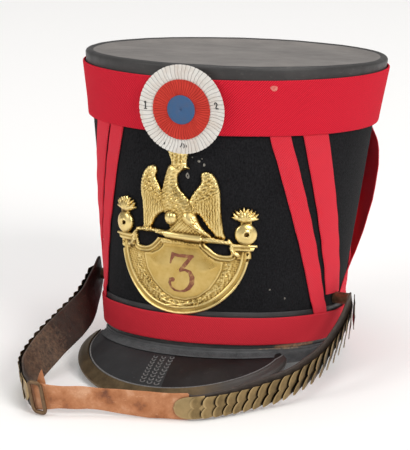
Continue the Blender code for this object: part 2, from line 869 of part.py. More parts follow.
def plate_object(material, collection, cutters, parent):
    bolt_low = shield_top - 0.1 * bolt_thickness
    bolt = box_outline(-bolt_half_length, bolt_half_length, bolt_low, bolt_low + bolt_thickness)
    shapes = [
        (rim_ring_outline(), relief_low), (field_ring_outline(), relief_low),
        (eagle_points(wing_shares), relief_mid), (eagle_points(wing_shares, -1.0), relief_mid),
        (bolt, relief_mid), (eagle_points(body_shares), relief_high),
    ]
    shapes += grenade_shapes(1.0) + grenade_shapes(-1.0)
    sheet = outline_object(shield_outline(), 0.0, plate_sheet, cutters)
    raised = []
    for i, (points, high) in enumerate(shapes):
        # Each shape starts and ends a little apart from the others, so no two faces coincide
        sink = sink_step * (i + 1)
        raised.append(outline_object(points, sink, high - sink, cutters))
    mesh = lay_on_felt(join_solids(sheet, raised))
    for item in [sheet] + raised:
        bpy.data.objects.remove(item, do_unlink=True)
    return new_object("plate", mesh, material, collection, parent)


def cockade_object(material, collection, parent):
    edge = cockade_radius
    thick = cockade_thickness
    bead = cockade_bead
    profile = [
        (0.0, thick + 1.6 * bead), (cockade_blue - bead, thick + bead), (cockade_blue, thick),
        (cockade_red, thick + 0.6 * bead), (cockade_red + bead, thick),
        (edge - bead, thick + bead), (edge, thick),
        (edge, 0.0), (0.0, 0.0),
    ]
    item = turned_object("cockade", profile, material, collection, parent)
    foot, head = band_section(0.0)[:2]
    slope = (head - foot).normalized()
    side = Vector((1.0, 0.0, 0.0))
    face = side.cross(slope)
    centre = foot + slope * ((cockade_height - foot.z) / slope.z) + face * (2.0 * clearance)
    centre.x = cockade_shift
    turn = Matrix((side, slope, face)).transposed().to_4x4()
    item.matrix_local = Matrix.Translation(centre) @ turn
    return item


def centre_on_floor(root, parts):
    # Moves the whole so that the middle of its bounding box stands on the origin
    bpy.context.view_layer.update()
    depsgraph = bpy.context.evaluated_depsgraph_get()
    corners = []
    for item in parts.objects:
        if item.type == "MESH":
            shape = item.evaluated_get(depsgraph)
            corners += [shape.matrix_world @ vertex.co for vertex in shape.data.vertices]
    low = [min(point[i] for point in corners) for i in range(3)]
    high = [max(point[i] for point in corners) for i in range(3)]
    root.location = (-(low[0] + high[0]) / 2.0, -(low[1] + high[1]) / 2.0, -low[2])


def crown_parts(parts, cutters, hat):
    felt = make_material("felt", (0.012, 0.013, 0.015), 0.95)
    top_hide = make_material("top_leather", (0.12, 0.11, 0.10), 0.6)
    hide = make_material("black_leather", (0.03, 0.03, 0.032), 0.5)
    red = make_material("red_band", (0.55, 0.02, 0.04), 0.9)
    dark_red = make_material("red_tape", (0.48, 0.02, 0.04), 0.9)
    gloss = make_material("peak_leather", (0.015, 0.014, 0.014), 0.3)
    dull_brass = make_material("dull_brass", (0.16, 0.12, 0.06), 0.5, 0.8)
    bright_brass = make_material("bright_brass", (0.72, 0.50, 0.14), 0.3, 1.0)
    paper = make_material("cockade_paper", (0.75, 0.73, 0.69), 0.8)

    new_object("crown_shell", crown_shell_mesh(), felt, parts, hat)
    new_object("crown_top", crown_top_mesh(), top_hide, parts, hat)
    new_object("top_band", top_band_mesh(), red, parts, hat)
    new_object("base_leather", base_leather_mesh(), hide, parts, hat)
    new_object("base_band", base_band_mesh(), red, parts, hat)
    new_object("peak", peak_mesh(), gloss, parts, hat)
    new_object("peak_rim", peak_rim_mesh(), dull_brass, parts, hat)
    cockade_object(paper, parts, hat)
    plate_object(bright_brass, parts, cutters, hat)
    for name, twin, side, top_share, base_share, width, tucked, bow in tapes:
        front = tape_mesh(name, side, top_share, base_share, width, tucked, False, 0.0)
        new_object(name, front, dark_red, parts, hat)
        rear = tape_mesh(twin, side, top_share, base_share, width, tucked, True, bow)
        new_object(twin, rear, dark_red, parts, hat)


def strap_parts(parts, root, place):
    hide = make_material("strap_leather", (0.05, 0.045, 0.04), 0.6)
    scale_brass = make_material("scale_brass", (0.33, 0.25, 0.13), 0.5, 0.9)
    brown = make_material("brown_leather", (0.36, 0.13, 0.05), 0.6)
    steel = make_material("buckle_metal", (0.12, 0.10, 0.08), 0.5, 0.8)

    route = Route(route_knots((place @ felt_point(stud_angle, stud_height)).z))
    total = route.total
    backing = strip_mesh("strap_right", route, 0.0, right_backing_end * total)
    new_object("strap_right", backing, hide, parts, root)
    scales = scales_mesh("scales_right", route, 0.0, right_scales_end * total)
    new_object("scales_right", scales, scale_brass, parts, root)
    front = strip_mesh("strap_front", route, right_backing_end * total + clearance, front_end * total)
    new_object("strap_front", front, brown, parts, root)
    new_object("buckle", buckle_mesh(route), steel, parts, root)
    new_object("strap_tip", tip_mesh(route), brown, parts, root)
    backing = strip_mesh("strap_left", route, front_end * total + clearance, total)
    new_object("strap_left", backing, hide, parts, root)
    scales = scales_mesh("scales_left", route, total, left_scales_start * total)
    new_object("scales_left", scales, scale_brass, parts, root)
    for name, angle, length in (("stud_right", stud_angle, 0.0), ("stud_left", -stud_angle, total)):
        new_object(name, stud_mesh(name, place, angle, route.frame(length)), steel, parts, root)


def build_model():
    clear_scene()
    parts = new_collection("shako_hat")
    cutters = new_collection("cutters")
    root = bpy.data.objects.new("shako_root", None)
    hat = bpy.data.objects.new("hat_frame", None)
    parts.objects.link(root)
    parts.objects.link(hat)
    hat.parent = root
    tilt, lift = resting_pose()
    place = Matrix.Translation((0.0, 0.0, lift)) @ Matrix.Rotation(-tilt, 4, "X")
    hat.matrix_local = place
    crown_parts(parts, cutters, hat)
    strap_parts(parts, root, place)
    centre_on_floor(root, parts)
    bpy.data.collections.remove(cutters)


build_model()
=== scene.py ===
import math

import bpy
import numpy as np
from mathutils import Matrix, Vector


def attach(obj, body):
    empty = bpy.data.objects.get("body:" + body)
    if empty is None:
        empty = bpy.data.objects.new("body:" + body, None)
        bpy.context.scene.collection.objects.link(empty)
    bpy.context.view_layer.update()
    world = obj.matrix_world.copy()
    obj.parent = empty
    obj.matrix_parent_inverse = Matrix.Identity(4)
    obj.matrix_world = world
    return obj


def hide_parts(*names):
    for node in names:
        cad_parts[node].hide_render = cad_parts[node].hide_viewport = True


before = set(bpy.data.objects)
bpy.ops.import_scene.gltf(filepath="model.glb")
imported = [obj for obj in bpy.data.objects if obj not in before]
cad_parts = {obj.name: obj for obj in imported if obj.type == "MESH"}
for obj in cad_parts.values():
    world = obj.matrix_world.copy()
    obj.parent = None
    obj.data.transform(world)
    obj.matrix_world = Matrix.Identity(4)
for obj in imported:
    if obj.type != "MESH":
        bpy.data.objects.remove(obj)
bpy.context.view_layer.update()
mm = 0.001

# Camera and light. Lengths in metres, angles in degrees
studio = {
    "cameraPlace": (0.5100, -1.3934, 0.4911), "cameraAzimuth": 20.35, "cameraElevation": 14.6,
    "lens": 161.8, "floorSize": 14.0, "floorGlow": 0.10, "worldLight": 0.36,
}
# name, place, aimed at, size, watts, colour
lamps = [
    ("leftSoftbox", (-3.45, -3.75, 3.30), (0.0, 0.0, 0.10), 2.7, 90.0, (1.0, 0.985, 0.96)),
    ("topSoftbox", (0.45, 1.05, 5.25), (0.0, 0.0, 0.15), 4.5, 138.0, (1.0, 1.0, 1.0)),
    ("rightSoftbox", (4.10, -2.60, 3.30), (0.0, 0.0, 0.10), 2.4, 160.0, (1.0, 0.98, 0.95)),
]

# The hat's own frame: +Z up the crown, front at -Y, angle 0 is the front. Lengths in mm
hat = {
    "baseSide": 86.8, "baseFront": 95.2, "topRadius": 113.2, "rimHeight": 216.1, "rimSlope": 3.3,
    "topShift": 1.2, "feltWall": 3.0, "topLeather": 2.2, "feltGap": 2.4, "topOverhang": 2.3,
    "tilt": 7.6945, "lift": 15.858, "shift": 21.591, "gap": 0.3,
}


def setUpStudio():
    camera = bpy.data.cameras.new("studioCamera")
    camera.lens = studio["lens"]
    camera.sensor_width = 36.0
    eye = bpy.data.objects.new("studioCamera", camera)
    eye.location = studio["cameraPlace"]
    tilt = math.radians(90.0 - studio["cameraElevation"])
    eye.rotation_euler = (tilt, 0.0, math.radians(studio["cameraAzimuth"]))
    bpy.context.scene.collection.objects.link(eye)
    bpy.context.scene.camera = eye
    bpy.context.scene.view_settings.view_transform = "Standard"

    for name, place, target, size, watts, colour in lamps:
        light = bpy.data.lights.new(name, "AREA")
        light.shape = "DISK"
        light.size = size
        light.energy = watts
        light.color = colour
        lamp = bpy.data.objects.new(name, light)
        lamp.location = place
        aim = Vector(target) - Vector(place)
        lamp.rotation_euler = aim.to_track_quat("-Z", "Y").to_euler()
        bpy.context.scene.collection.objects.link(lamp)

    world = bpy.data.worlds.new("studioWorld")
    world.use_nodes = True
    background = world.node_tree.nodes["Background"]
    background.inputs["Color"].default_value = (1.0, 0.99, 0.98, 1.0)
    background.inputs["Strength"].default_value = studio["worldLight"]
    bpy.context.scene.world = world

    half = studio["floorSize"] / 2
    mesh = bpy.data.meshes.new("studioFloor")
    mesh.from_pydata([(-half, -half, 0), (half, -half, 0), (half, half, 0), (-half, half, 0)], [], [(0, 1, 2, 3)])
    floor = bpy.data.objects.new("studioFloor", mesh)
    bpy.context.scene.collection.objects.link(floor)
    paper = bpy.data.materials.new("studioPaper")
    paper.use_nodes = True
    shader = paper.node_tree.nodes["Principled BSDF"]
    shader.inputs["Base Color"].default_value = (0.86, 0.855, 0.85, 1.0)
    shader.inputs["Roughness"].default_value = 0.9
    shader.inputs["Emission Color"].default_value = (1.0, 0.995, 0.99, 1.0)
    shader.inputs["Emission Strength"].default_value = studio["floorGlow"]
    mesh.materials.append(paper)
    print("studio ready")


# Places on the hat, as arrays with the last axis x, y, z in mm

def feltTop(angle):
    back = -hat["topRadius"] * np.cos(angle)
    return hat["rimHeight"] + back * math.tan(math.radians(hat["rimSlope"])) - hat["topLeather"] - hat["feltGap"]


def feltPoint(angle, height, out=0.0):
    # A point this far outside the felt
    angle, height, out = np.broadcast_arrays(angle, height, out)
    share = height / feltTop(angle)
    side = hat["baseSide"] + (hat["topRadius"] - hat["baseSide"]) * share + out
    front = hat["baseFront"] + (hat["topRadius"] - hat["baseFront"]) * share + out
    return np.stack([side * np.sin(angle), hat["topShift"] * share - front * np.cos(angle), height], -1)


class ArcTable:
    # Arc length along the felt from the front, for every height, and back again
    def __init__(self):
        self.angles = np.linspace(-math.pi, math.pi, 721)
        self.heights = np.linspace(-8.0, 216.0, 57)
        ring = feltPoint(self.angles[None, :], self.heights[:, None])
        steps = np.linalg.norm(np.diff(ring, axis=1), axis=-1)
        arcs = np.concatenate([np.zeros((len(self.heights), 1)), np.cumsum(steps, axis=1)], 1)
        self.arcs = arcs - arcs[:, 360:361]

    def arc(self, angle, height):
        col = np.clip((angle + math.pi) / (2 * math.pi) * 720, 0, 719.999)
        row = np.clip((height + 8.0) / 4.0, 0, 55.999)
        i, j = row.astype(int), col.astype(int)
        u, v = row - i, col - j
        a = self.arcs
        return ((1 - u) * ((1 - v) * a[i, j] + v * a[i, j + 1])
                + u * ((1 - v) * a[i + 1, j] + v * a[i + 1, j + 1]))

    def angle(self, arc, height):
        arc, height = np.broadcast_arrays(np.asarray(arc, float), np.asarray(height, float))
        guess = arc / 100.0
        step = 0.01
        for _ in range(6):
            speed = (self.arc(guess + step, height) - self.arc(guess - step, height)) / (2 * step)
            guess = guess - (self.arc(guess, height) - arc) / np.maximum(speed, 1.0)
        return guess


arcTable = ArcTable()


def hatToWorld(points):
    turn = math.radians(hat["tilt"])
    c, s = math.cos(turn), math.sin(turn)
    x, y, z = points[..., 0], points[..., 1], points[..., 2]
    return np.stack([x, y * c + z * s + hat["shift"], -y * s + z * c + hat["lift"]], -1) * mm


def smooth(value):
    value = np.clip(value, 0.0, 1.0)
    return value * value * (3.0 - 2.0 * value)


def wander(points, size, seed):
    # A smooth irregular field between about -1 and 1, with features of this size in mm
    draw = np.random.default_rng(seed)
    total = np.zeros(points.shape[:-1])
    for _ in range(7):
        way = draw.normal(size=points.shape[-1])
        way *= draw.uniform(0.6, 1.5) * 2 * math.pi / (size * np.linalg.norm(way))
        total += np.sin(points @ way + draw.uniform(0, 2 * math.pi))
    return total / 3.5


# Meshes from rows of points

def quadGrid(rows, cols, wrapRows=False, wrapCols=False, start=0):
    i = np.arange(rows if wrapRows else rows - 1)
    j = np.arange(cols if wrapCols else cols - 1)
    i, j = [a.ravel() for a in np.meshgrid(i, j, indexing="ij")]
    k, l = (i + 1) % rows, (j + 1) % cols
    return np.stack([i * cols + j, i * cols + l, k * cols + l, k * cols + j], -1) + start


def thickSheet(outer, inner, wrap=False):
    # Two faces and the edges between them; wrap joins the last column to the first
    rows, cols = outer.shape[:2]
    count = rows * cols
    points = np.concatenate([outer.reshape(-1, 3), inner.reshape(-1, 3)])
    face = quadGrid(rows, cols, wrapCols=wrap)
    index = np.arange(count).reshape(rows, cols)
    rims = []
    for line, closed in ((index[0], wrap), (index[-1][::-1], wrap)):
        follow = np.roll(line, -1) if closed else line[1:]
        first = line if closed else line[:-1]
        rims.append(np.stack([follow, first, first + count, follow + count], -1))
    if not wrap:
        for line in (index[:, 0][::-1], index[:, -1]):
            rims.append(np.stack([line[1:], line[:-1], line[:-1] + count, line[1:] + count], -1))
    return points, [tuple(f) for f in np.concatenate([face, face[:, ::-1] + count] + rims).tolist()]


def sweep(sections, closed=False):
    # Closed cross-sections joined along a path, with caps unless the path is closed
    rows, cols = sections.shape[:2]
    faces = [tuple(f) for f in quadGrid(rows, cols, closed, True).tolist()]
    if not closed:
        faces += [tuple(range(cols))[::-1], tuple(range((rows - 1) * cols, rows * cols))]
    return sections.reshape(-1, 3), faces


def joinParts(parts):
    # Several points-and-faces pairs as one
    points, faces, start = [], [], 0
    for part, sides in parts:
        points.append(part)
        faces += [tuple(i + start for i in side) for side in sides]
        start += len(part)
    return np.concatenate(points), faces


def signedVolume(points, faces):
    total = 0.0
    for size in {len(side) for side in faces}:
        group = np.array([side for side in faces if len(side) == size])
        for i in range(1, size - 1):
            a, b, c = points[group[:, 0]], points[group[:, i]], points[group[:, i + 1]]
            total += float((a * np.cross(b, c)).sum())
    return total


def makePiece(name, shape, finish, stands=(), flat=None, wrapU=0.0, marks=None, sharp=40.0):
    # shape is points in metres and faces; flat gives each point's cloth coordinates in metres
    points, faces = shape
    if signedVolume(points, faces) < 0:
        faces = [side[::-1] for side in faces]
    mesh = bpy.data.meshes.new(name)
    mesh.from_pydata(points.tolist(), [], faces)
    mesh.materials.append(finish)
    if flat is not None:
        corner = np.zeros(len(mesh.loops), np.int32)
        mesh.loops.foreach_get("vertex_index", corner)
        uv = np.asarray(flat, float)[corner]
        if wrapU:
            start = 0
            for side in faces:
                part = uv[start:start + len(side), 0]
                if part.max() - part.min() > wrapU / 2:
                    part[part < part.max() - wrapU / 2] += wrapU
                start += len(side)
        mesh.uv_layers.new(name="cloth").data.foreach_set("uv", uv.astype(np.float32).ravel())
    for mark, values in (marks or {}).items():
        mesh.attributes.new(mark, "FLOAT", "POINT").data.foreach_set("value", np.asarray(values, np.float32).ravel())
    mesh.shade_smooth()
    mesh.set_sharp_from_angle(angle=math.radians(sharp))
    piece = bpy.data.objects.new(name, mesh)
    bpy.context.scene.collection.objects.link(piece)
    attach(piece, "root")
    if stands:
        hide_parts(*stands)
    return piece


# Finishes: a small helper over shader nodes, then one function for each material

class Finish:
    def __init__(self, name, roughness=0.5, metallic=0.0, sheen=0.0, specular=0.5):
        self.material = bpy.data.materials.new(name)
        self.material.use_nodes = True
        self.tree = self.material.node_tree
        self.shader = self.tree.nodes["Principled BSDF"]
        self.shader.inputs["Roughness"].default_value = roughness
        self.shader.inputs["Metallic"].default_value = metallic
        self.shader.inputs["Specular IOR Level"].default_value = specular
        self.shader.inputs["Sheen Weight"].default_value = sheen
        self.place = self.tree.nodes.new("ShaderNodeTexCoord").outputs["Object"]

    def node(self, kind, values=None, **settings):
        made = self.tree.nodes.new(kind)
        for key, value in settings.items():
            setattr(made, key, value)
        for key, value in (values or {}).items():
            if isinstance(value, bpy.types.NodeSocket):
                self.tree.links.new(value, made.inputs[key])
            else:
                made.inputs[key].default_value = value
        return made

    def clothPlace(self):
        return self.node("ShaderNodeUVMap", uv_map="cloth").outputs[0]

    def mark(self, name):
        return self.node("ShaderNodeAttribute", attribute_name=name).outputs["Fac"]

    def stretch(self, place, scale, turn=0.0):
        values = {"Vector": place, "Scale": scale, "Rotation": (0.0, 0.0, math.radians(turn))}
        return self.node("ShaderNodeMapping", values).outputs[0]

    def noise(self, size, detail=3.0, rough=0.5, place=None):
        # size is the width of a patch in mm
        values = {"Vector": place or self.place, "Scale": 1.0 / (size * mm), "Detail": detail, "Roughness": rough}
        return self.node("ShaderNodeTexNoise", values).outputs["Fac"]

    def cells(self, size, place=None, feature="F1"):
        values = {"Vector": place or self.place, "Scale": 1.0 / (size * mm)}
        return self.node("ShaderNodeTexVoronoi", values, feature=feature).outputs["Distance"]

    def math(self, operation, a, b=0.0, c=0.0, clamp=False):
        made = self.node("ShaderNodeMath", {0: a, 1: b, 2: c}, operation=operation)
        made.use_clamp = clamp
        return made.outputs[0]

    def ramp(self, factor, stops):
        made = self.node("ShaderNodeValToRGB", {"Fac": factor})
        points = made.color_ramp.elements
        while len(points) < len(stops):
            points.new(0.5)
        for point, (place, colour) in zip(points, stops):
            point.position = place
            point.color = (*colour, 1.0) if isinstance(colour, tuple) else (colour, colour, colour, 1.0)
        return made.outputs["Color"]

    def mix(self, factor, a, b, blend="MIX"):
        made = self.node("ShaderNodeMix", data_type="RGBA", blend_type=blend)
        for key, value in ((0, factor), (6, a), (7, b)):
            if isinstance(value, bpy.types.NodeSocket):
                self.tree.links.new(value, made.inputs[key])
            elif key == 0:
                made.inputs[key].default_value = value
            else:
                made.inputs[key].default_value = (*value, 1.0)
        return made.outputs[2]

    def bump(self, height, depth, strength=1.0, under=None):
        # depth is the relief in mm between height 0 and 1
        made = self.node("ShaderNodeBump", {"Height": height, "Distance": depth * mm, "Strength": strength})
        if under:
            self.tree.links.new(under, made.inputs["Normal"])
        return made.outputs[0]

    def finish(self, colour=None, roughness=None, normal=None, metallic=None):
        for key, value in (("Base Color", colour), ("Roughness", roughness), ("Normal", normal), ("Metallic", metallic)):
            if value is not None:
                self.tree.links.new(value, self.shader.inputs[key])
        return self.material


def feltFinish():
    paint = Finish("woolFelt", roughness=0.95, sheen=0.03, specular=0.08)
    paint.shader.inputs["Sheen Roughness"].default_value = 0.5
    dust = paint.noise(38, 5, 0.6)
    nap = paint.noise(1.1, 3, 0.7, paint.stretch(paint.place, (1.0, 1.0, 0.6)))
    base = paint.ramp(dust, [(0.30, (0.0045, 0.0047, 0.0055)), (0.62, (0.0095, 0.0097, 0.0110)), (0.85, (0.024, 0.024, 0.025))])
    tone = paint.mix(0.55, base, paint.ramp(nap, [(0.3, (0.003, 0.003, 0.0035)), (0.75, (0.028, 0.028, 0.031))]))
    lint = paint.ramp(paint.cells(7.5), [(0.035, (1, 1, 1)), (0.075, (0, 0, 0))])
    spots = paint.math("MULTIPLY", lint, paint.ramp(paint.noise(24, 2), [(0.56, 0.0), (0.66, 0.7)]))
    colour = paint.mix(spots, tone, (0.10, 0.095, 0.085))
    return paint.finish(colour, normal=paint.bump(nap, 0.35, 0.8))


def woolFinish(name, bright, dark, pitch, lean, depth=0.22, through=0.0):
    # Woven wool: diagonal ribs crossed by the threads, over slow changes of tone; through is how much
    # light passes the cloth
    paint = Finish(name, roughness=0.92, sheen=0.25, specular=0.18)
    paint.shader.inputs["Subsurface Weight"].default_value = through
    paint.shader.inputs["Subsurface Radius"].default_value = (1.0, 0.12, 0.16)
    paint.shader.inputs["Subsurface Scale"].default_value = 0.002
    paint.shader.inputs["Sheen Tint"].default_value = (*bright, 1.0)
    cloth = paint.clothPlace()
    rib = paint.node("ShaderNodeTexWave", {
        "Vector": paint.stretch(cloth, (1, 1, 1), lean), "Scale": 0.314 / (pitch * mm), "Distortion": 0.6,
        "Detail": 1.0, "Detail Scale": 2.0}, bands_direction="X").outputs["Fac"]
    thread = paint.node("ShaderNodeTexWave", {
        "Vector": paint.stretch(cloth, (1, 1, 1), lean - 62), "Scale": 0.314 / (pitch * 0.62 * mm),
        "Distortion": 0.8, "Detail": 1.0}, bands_direction="X").outputs["Fac"]
    weave = paint.math("MULTIPLY_ADD", thread, 0.45, paint.math("MULTIPLY", rib, 0.6))
    tone = paint.ramp(weave, [(0.15, dark), (0.75, bright)])
    worn = paint.ramp(paint.noise(17, 4), [(0.35, 0.0), (0.75, 0.55)])
    colour = paint.mix(worn, tone, tuple(0.6 * a + 0.4 * b for a, b in zip(bright, dark)))
    fuzz = paint.noise(0.6, 2)
    height = paint.math("MULTIPLY_ADD", fuzz, 0.3, weave)
    return paint.finish(colour, normal=paint.bump(height, depth, 0.8))


def leatherFinish(name, stops, roughness=(0.35, 0.6), grain=0.9, depth=0.10, patch=30, scuff=None, specular=0.5,
                  worn=None):
    # Leather: patches of tone, fine grain, and scuffs that are paler and rougher; worn is the tone where
    # the piece's own mark says it is rubbed through
    paint = Finish(name, specular=specular)
    patches = paint.noise(patch, 6, 0.62)
    colour = paint.ramp(patches, stops)
    rough = paint.ramp(paint.noise(patch * 0.4, 4), [(0.3, roughness[0]), (0.7, roughness[1])])
    pebble = paint.cells(grain)
    crease = paint.noise(grain * 5, 5, 0.7)
    height = paint.math("MULTIPLY_ADD", crease, 1.2, pebble)
    if scuff:
        marks = paint.ramp(paint.noise(2.2, 6, 0.75, paint.stretch(paint.place, (0.35, 0.35, 1.0), 20)),
                           [(0.60, 0.0), (0.68, 1.0)])
        colour = paint.mix(paint.math("MULTIPLY", marks, scuff[1]), colour, scuff[0])
    if worn:
        bare = paint.math("MULTIPLY_ADD", paint.math("SUBTRACT", paint.noise(3.0, 4, 0.7), 0.5), 1.6, paint.mark("worn"))
        colour = paint.mix(paint.ramp(bare, [(0.3, 0.0), (0.95, 0.9)]), colour, worn)
    return paint.finish(colour, rough, paint.bump(height, depth, 0.7))


def brassFinish(name, hollow, body, bright, roughness=(0.24, 0.42), metallic=1.0, patch=14, depth=0.05, marked=True,
                greyed=None):
    # Brass: dark in the hollows, rubbed bright on the heights, with fine scratches. On the chin scales the relief mark
    # also carries painted shadow under each free edge and painted shade toward the stud
    paint = Finish(name, metallic=metallic)
    tarnish = paint.noise(patch, 6, 0.65)
    if marked:
        level = paint.math("MULTIPLY_ADD", paint.math("SUBTRACT", tarnish, 0.5), 0.55, paint.mark("relief"))
    else:
        level = tarnish
    colour = paint.ramp(level, [(0.18, hollow), (0.48, body), (0.86, bright)])
    # Where the mark says so, the colour turns to this grey
    if greyed:
        colour = paint.mix(paint.mark("greyed"), colour, greyed)
    rough = paint.ramp(tarnish, [(0.3, roughness[0]), (0.75, roughness[1])])
    hair = paint.noise(0.7, 4, 0.7, paint.stretch(paint.place, (0.25, 1.0, 1.0), 35))
    return paint.finish(colour, rough, paint.bump(hair, depth, 0.6))


def paperFinish(name, crease, face, stain, blotch=9.0):
    # Pleated paper or ribbon: painted shade darkens the pleats' valleys, and it is slightly stained
    paint = Finish(name, roughness=0.75, specular=0.25)
    fold = paint.mark("fold")
    # The crease colour is painted shade where the fold mark is low, in the pleats' valleys
    tone = paint.ramp(fold, [(0.02, crease), (0.45, face)])
    marks = paint.ramp(paint.noise(blotch, 5, 0.65), [(0.42, 0.0), (0.75, 0.75)])
    colour = paint.mix(marks, tone, stain)
    fibre = paint.noise(0.5, 3, 0.6)
    return paint.finish(colour, normal=paint.bump(fibre, 0.05, 0.6))


finishes = {}


def makeFinishes():
    # Each cockade colour has a darker crease tone, which is painted shade for the pleats' valleys
    finishes["white"] = paperFinish("cockadeWhite", (0.27, 0.27, 0.28), (0.72, 0.70, 0.66), (0.58, 0.49, 0.42))
    finishes["red"] = paperFinish("cockadeRed", (0.24, 0.014, 0.012), (0.56, 0.040, 0.026), (0.42, 0.026, 0.018))
    finishes["blue"] = paperFinish("cockadeBlue", (0.03, 0.05, 0.14), (0.045, 0.110, 0.235), (0.075, 0.105, 0.19), 4.0)
    finishes["felt"] = feltFinish()
    finishes["topBand"] = woolFinish("crimsonTwill", (0.84, 0.020, 0.046), (0.32, 0.004, 0.013), 1.35, 42, 0.40)
    finishes["baseBand"] = woolFinish("crimsonTape", (0.66, 0.030, 0.048), (0.40, 0.013, 0.024), 1.1, 30, 0.16)
    finishes["tape"] = woolFinish("crimsonRibbon", (0.76, 0.042, 0.066), (0.54, 0.020, 0.036), 1.2, 50, 0.16, 0.5)
    # The top's disc is painted pale grey as painted light from above; the rolled rim and skirt use the darker skirt
    # leather
    finishes["top"] = leatherFinish(
        "topLeather", [(0.25, (0.135, 0.124, 0.117)), (0.55, (0.195, 0.178, 0.167)), (0.8, (0.26, 0.238, 0.222))],
        (0.42, 0.6), 1.1, 0.10, 42, ((0.25, 0.23, 0.21), 0.35))
    finishes["skirt"] = leatherFinish(
        "skirtLeather", [(0.3, (0.020, 0.019, 0.019)), (0.7, (0.042, 0.040, 0.039))],
        (0.42, 0.6), 0.9, 0.10, 30, ((0.12, 0.11, 0.10), 0.4))
    finishes["black"] = leatherFinish(
        "blackLeather", [(0.3, (0.018, 0.018, 0.019)), (0.7, (0.042, 0.041, 0.042))],
        (0.40, 0.6), 0.8, 0.10, 22, ((0.11, 0.10, 0.095), 0.5), worn=(0.36, 0.17, 0.075))
    finishes["peak"] = leatherFinish(
        "peakLeather", [(0.3, (0.015, 0.015, 0.016)), (0.7, (0.025, 0.025, 0.027))],
        (0.30, 0.5), 0.8, 0.05, 34, ((0.08, 0.08, 0.082), 0.4), 0.35)
    finishes["peakRight"] = leatherFinish(
        "peakLeatherRight", [(0.3, (0.007, 0.005, 0.005)), (0.7, (0.014, 0.010, 0.010))],
        (0.34, 0.55), 0.8, 0.05, 26, ((0.06, 0.05, 0.05), 0.35), 0.22)
    finishes["welt"] = leatherFinish(
        "weltLeather", [(0.3, (0.045, 0.047, 0.050)), (0.7, (0.080, 0.082, 0.086))],
        (0.45, 0.65), 0.7, 0.10, 9, ((0.13, 0.125, 0.12), 0.5), 0.4, (0.40, 0.26, 0.15))
    finishes["lint"] = leatherFinish(
        "paleLint", [(0.3, (0.08, 0.075, 0.065)), (0.7, (0.33, 0.31, 0.27))], (0.8, 0.9), 0.4, 0.1, 1.2)
    finishes["faded"] = leatherFinish(
        "fadedWool", [(0.3, (0.60, 0.07, 0.07)), (0.7, (0.70, 0.26, 0.20))], (0.8, 0.95), 0.4, 0.1, 1.6)
    finishes["thread"] = leatherFinish(
        "greyThread", [(0.3, (0.085, 0.085, 0.088)), (0.7, (0.20, 0.195, 0.19))], (0.6, 0.8), 0.4, 0.05, 1.6)
    finishes["ink"] = leatherFinish(
        "blackThread", [(0.3, (0.012, 0.012, 0.014)), (0.7, (0.05, 0.045, 0.045))], (0.6, 0.8), 0.5, 0.05, 2.5)
    finishes["strap"] = leatherFinish(
        "strapLeather", [(0.3, (0.020, 0.014, 0.011)), (0.6, (0.046, 0.031, 0.023)), (0.8, (0.11, 0.066, 0.040))],
        (0.45, 0.7), 1.2, 0.2, 16, ((0.16, 0.11, 0.075), 0.5), worn=(0.17, 0.105, 0.066))
    finishes["brown"] = leatherFinish(
        "cognacLeather",
        [(0.28, (0.15, 0.046, 0.018)), (0.42, (0.38, 0.135, 0.045)), (0.56, (0.50, 0.212, 0.092)), (0.72, (0.66, 0.37, 0.22))],
        (0.45, 0.65), 0.7, 0.12, 15, ((0.74, 0.42, 0.24), 0.5))
    finishes["bright"] = brassFinish("plateBrass", (0.13, 0.070, 0.016), (0.55, 0.365, 0.105), (0.88, 0.69, 0.30))
    finishes["copper"] = leatherFinish(
        "numeralCopper", [(0.3, (0.15, 0.034, 0.014)), (0.5, (0.25, 0.080, 0.034)), (0.62, (0.42, 0.23, 0.08))],
        (0.35, 0.5), 0.5, 0.05, 3.5)
    finishes["dull"] = brassFinish(
        "bindingBrass", (0.050, 0.034, 0.018), (0.12, 0.083, 0.043), (0.26, 0.185, 0.10), (0.38, 0.6), 0.85, 18,
        0.06, False, (0.062, 0.060, 0.060))
    finishes["scale"] = brassFinish(
        "scaleBrass", (0.030, 0.020, 0.012), (0.28, 0.195, 0.088), (0.52, 0.38, 0.19), (0.32, 0.5), 0.92, 9, 0.06)
    finishes["steel"] = brassFinish(
        "buckleMetal", (0.06, 0.034, 0.018), (0.17, 0.105, 0.058), (0.31, 0.21, 0.125), (0.35, 0.55), 0.85, 6, 0.08, False)
    print("finishes ready:", len(finishes))


# Felt crown

crown = {"around": 300, "rowsOut": 52, "rowsIn": 16, "dent": 0.7, "nap": 0.12, "edge": 0.8}


def makeCrown():
    angles = np.linspace(0, 2 * math.pi, crown["around"], endpoint=False)
    top = feltTop(angles)
    rows = []
    edge = crown["edge"]
    profile = [(0.0, -edge)] + [(t, 0.0) for t in np.linspace(edge / 211, 1 - edge / 211, crown["rowsOut"])]
    profile += [(1.0, -edge), (1.0, edge - hat["feltWall"])]
    profile += [(t, -hat["feltWall"]) for t in np.linspace(1 - edge / 211, edge / 211, crown["rowsIn"])]
    profile += [(0.0, edge - hat["feltWall"])]
    for share, out in profile:
        ring = feltPoint(angles, share * top, out)
        slack = crown["dent"] * 0.5 * (wander(ring, 95.0, 3) - 1.0) * smooth(4 * share) * smooth(4 - 4 * share)
        nap = crown["nap"] * (wander(ring, 4.0, 4) - 1.0) * 0.5
        rows.append(feltPoint(angles, share * top, out + slack + nap))
    shape = sweep(hatToWorld(np.stack(rows)), True)
    makePiece("feltCrown", shape, finishes["felt"], ["crown_shell"])
    print("felt crown done")


# Lint caught on the felt and a moth's mark on the band: angle, height, across and up, in degrees and mm
lint = [(2.3, 129.0, 1.5, 1.9), (6.8, 140.0, 1.1, 0.9), (9.0, 137.6, 0.8, 1.2), (4.1, 142.6, 0.6, 0.5),
        (8.0, 142.0, 0.5, 0.4), (50.6, 106.5, 0.8, 0.6), (40.9, 47.0, 0.9, 0.6), (49.0, 40.0, 0.7, 0.9)]
mothMark = (33.0, 195.5, 2.4, 2.1)


